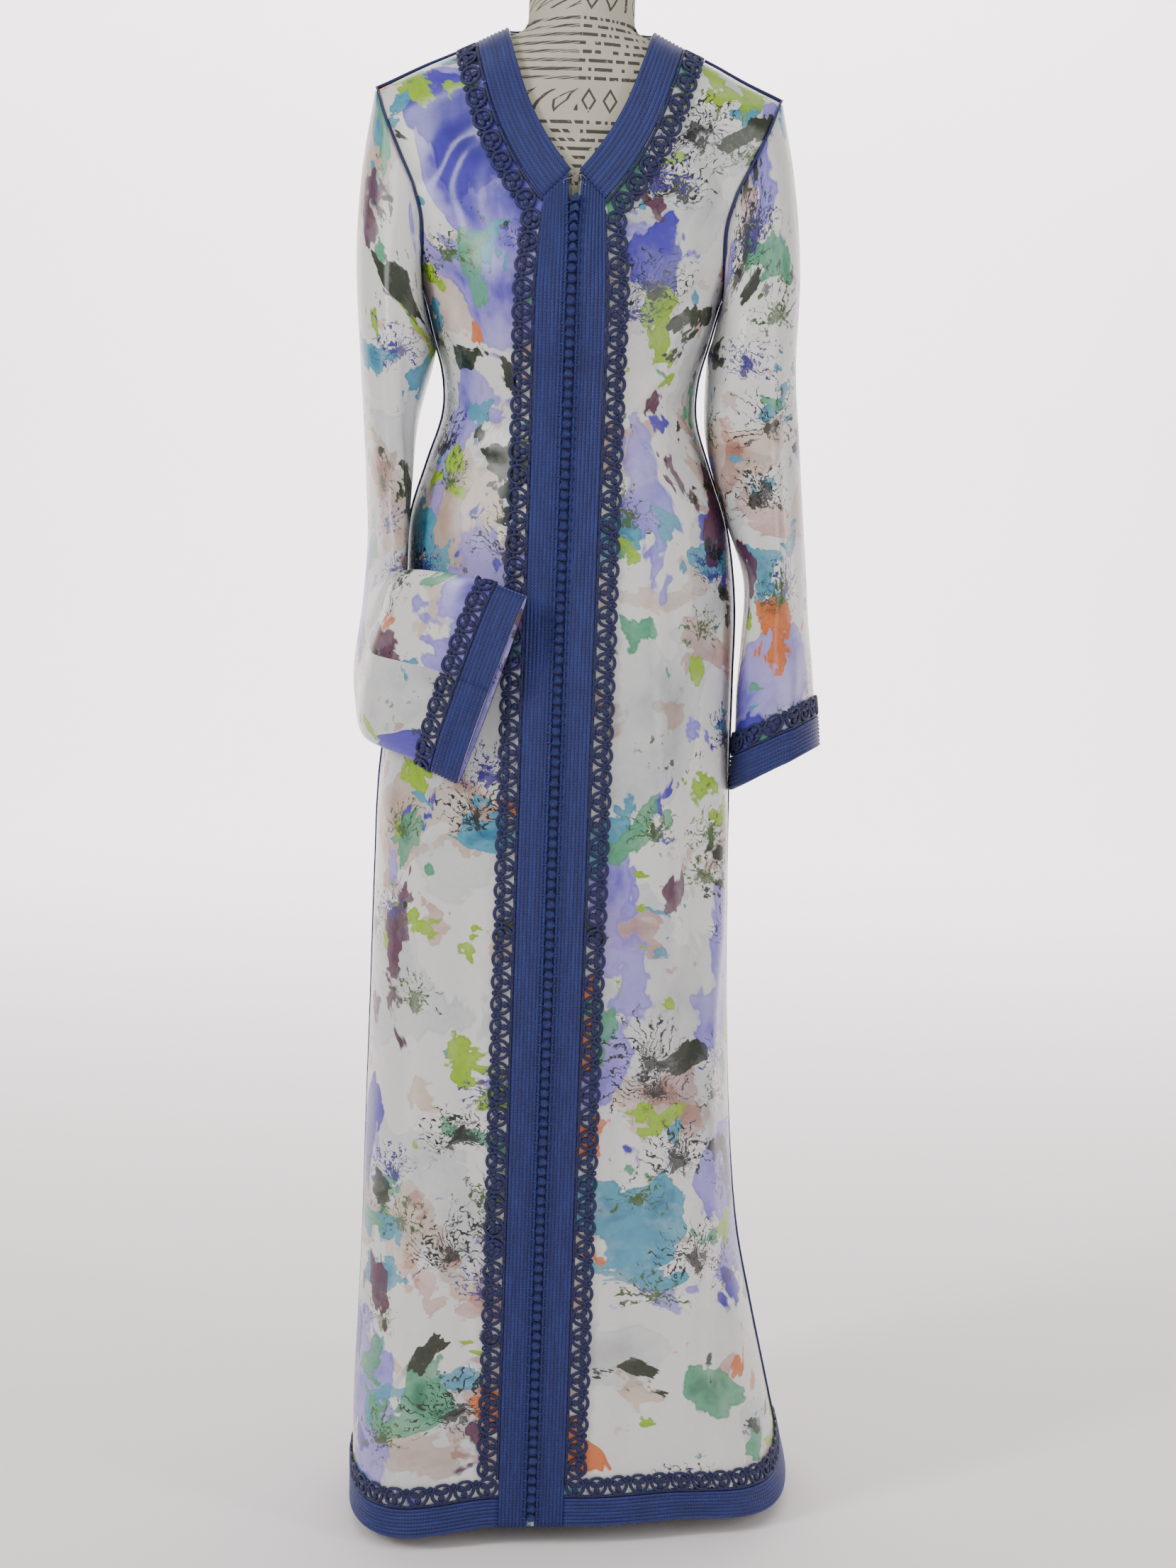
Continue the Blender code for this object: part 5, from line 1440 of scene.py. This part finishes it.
def neck_rows(low, high, sides=(-1, 1)):
    """Spots of a trim round the neck, from one side's mitre over the back to the other's."""
    columns = np.linspace(low, high, TRIM_POINTS)
    half = {}
    for side in (-1, 1):
        rows = [[upper_front(side, s, c) for c in columns] for s in even(MITRE_STEP, ARM_STEPS, 0.12)]
        rows += [[upper_back(side, ray, c) for c in columns]
                 for ray in even(0, ARM_STEPS + BACK_COLUMNS, 0.3)[1:]]
        half[side] = rows
    if sides == (-1, 1):
        return half[-1] + half[1][-2::-1]
    return half[sides[0]]


def hem_rows(low, high, sides):
    """Spots of a trim along the hem, over the given stretches."""
    heights = np.linspace(low, high, TRIM_POINTS)
    fronts = np.linspace(1, 2 + SIDE_COLUMNS, 60)
    backs = np.linspace(BACK_COLUMNS, 0, 50)
    left = [[lower_front(-1, z, c) for z in heights] for c in fronts]
    left_back = [[lower_back(-1, z, c) for z in heights] for c in backs]
    right = [[lower_front(1, z, c) for z in heights] for c in fronts]
    right_back = [[lower_back(1, z, c) for z in heights] for c in backs]
    return {"left": left, "right": right[::-1], "back": left_back + right_back[-2::-1]}[sides]


def make_braids(braid, sleeves):
    """The braids down both fronts, round the neck, the hem and both cuffs."""
    gap = SLIT_HALF / (SLIT_HALF + BRAID_WIDE)
    for side, word in SIDES:
        strip = placket_strip(side, gap, 1.0)
        piece("braid_placket_" + word, [braid_parts(strip)], braid, "braid",
              "placket_braid_" + word)
    neck = band(neck_rows(0.0, 1.0))
    piece("braid_neck", [braid_parts(neck)], braid, "braid", "neck_braid")
    low, high = HEM_Z, HEM_Z + BRAID_WIDE
    rows = hem_rows(low, high, "left") + hem_rows(low, high, "back") + hem_rows(low, high, "right")
    piece("braid_hem", [braid_parts(band(rows))], braid, "braid", "hem_braid")
    for (_, word), sleeve in zip(SIDES, sleeves):
        strip = sleeve.strip(sleeve.knots[-2], sleeve.knots[-1], 0, None)
        piece("braid_cuff_" + word, [braid_parts(strip)], braid, "braid", "cuff_braid_" + word)


def make_laces(lace, sleeves):
    """The laces beside all the braids."""
    edge = 1 + TRIM_GAP / (TRIM_GAP + LACE_WIDE)
    above_hem = int(round((BRAID_WIDE + TRIM_GAP + LACE_WIDE) / TRIM_STEP))
    for side, word in SIDES:
        strip = placket_strip(side, edge, 2.0, above_hem)
        piece("lace_placket_" + word, [lace_parts(strip, stiff=True)], lace, "lace",
              "placket_lace_" + word)
        strip = band(neck_rows(edge, 2.0, (side,)))
        piece("lace_neck_" + word, [lace_parts(strip, stiff=True)], lace, "lace",
              "neck_lace_" + word)
    low = HEM_Z + BRAID_WIDE + TRIM_GAP
    for word in ("left", "back", "right"):
        strip = band(hem_rows(low, low + LACE_WIDE, word))
        piece("lace_hem_" + word, [lace_parts(strip)], lace, "lace", "hem_lace_" + word)
    half = SLEEVE_TURNS // 2
    for (_, word), sleeve in zip(SIDES, sleeves):
        for name, start, end in (("front", 0, half + 1), ("back", half, None)):
            strip = sleeve.strip(sleeve.knots[-2] - TRIM_GAP, sleeve.knots[-3], start, end)
            piece("lace_cuff_%s_%s" % (word, name), [lace_parts(strip)], lace, "lace",
                  "cuff_lace_%s_%s" % (word, name))


def make_pipings(cord):
    """Cords over the side, shoulder and armhole seams."""
    top = len(TRIM_X) - 1 + SIDE_COLUMNS
    for side, word in SIDES:
        columns = (top - 0.12, top - 0.06, top)
        lace_top = HEM_Z + BRAID_WIDE + TRIM_GAP + LACE_WIDE
        rows = [[lower_front(side, z, c) for c in columns] for z in even(lace_top, UNDERARM_Z, TRIM_STEP)]
        strip = band(rows)
        piece("cord_side_" + word, [cord_parts(strip, SIDE_RADIUS)],
              cord, "piping", "side_piping_" + word)
        rows = [[upper_front(side, s, c) for s in (ARM_STEPS - 0.2, ARM_STEPS - 0.1, ARM_STEPS)]
                for c in even(2, top, 0.1)]
        strip = band(rows)
        piece("cord_shoulder_" + word, [cord_parts(strip, PIPING_RADIUS)],
              cord, "piping", "shoulder_piping_" + word)
        rows = [[upper_front(side, s, c) for c in columns] for s in even(0, ARM_STEPS, 0.15)]
        strip = band(rows)
        piece("cord_armhole_" + word, [cord_parts(strip, PIPING_RADIUS)],
              cord, "piping", "armhole_piping_" + word)


# Flat cut of the satin pieces: piece, width, length and area, then what is sewn on it.
# piece, width, length, area, trims
CUTS = (
    ("satin_front_left", 0.29, 1.50, 0.363,
     ("braid_placket_left", "lace_placket_left", "lace_neck_left")),
    ("satin_front_right", 0.35, 1.50, 0.385,
     ("braid_placket_right", "lace_placket_right", "lace_neck_right")),
    ("satin_back", 0.62, 1.53, 0.746, ("braid_neck",)),
    ("satin_sleeve_left", 0.52, 0.80, 0.237, ("braid_cuff_left",)),
    ("satin_sleeve_right", 0.52, 0.65, 0.213, ("braid_cuff_right",)),
)


def main():
    make_camera()
    satin = make_satin()
    braid = make_braid()
    lace = make_cord("lace_cord", srgb(7, 10, 46), srgb(20, 30, 88))
    cord = make_cord("seam_cord", srgb(7, 14, 60), srgb(22, 34, 104))
    steel = make_metal("hook_steel", srgb(120, 120, 124), srgb(170, 170, 175), 0.3, 1.0)
    stand = make_metal("stand_black", srgb(30, 30, 32), srgb(44, 44, 47), 0.45, 0.7)
    panels = list(make_fronts(satin)) + [make_back(satin)]
    sleeves = []
    for (side, word), table, bent, creases in zip(
            SIDES, (BENT_SLEEVE, HANGING_SLEEVE), (True, False), (BENT_CREASES, HANGING_CREASES)):
        sleeve = Sleeve(side, table, bent, creases)
        obj = sheet_object("satin_sleeve_" + word, [(sleeve.points, sleeve.normals, sleeve.prints)], satin)
        panels.append(belongs(obj, "satin", "sleeve_" + word))
        sleeves.append(sleeve)
    make_braids(braid, sleeves)
    make_laces(lace, sleeves)
    make_pipings(cord)
    columns = np.linspace(-1, 1, 9)
    rows = [[(lower_front(int(math.copysign(1, c)), z, abs(c)) if step is None
              else upper_front(int(math.copysign(1, c)), step, abs(c))) for c in columns]
            for z, step in trim_rows()]
    middle = band(rows)
    make_knots(middle, make_cord("knot_silk", srgb(8, 14, 66), srgb(34, 56, 140), 0.42), lace)
    make_hook(middle, steel)
    make_form(make_form_cover())
    for name in ("stand_foot", "stand_pole"):
        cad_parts[name].data.materials[0] = stand
    make_studio()
    for name, width, length, area, trims in CUTS:
        [bpy.data.objects[trim] for trim in trims]


main()
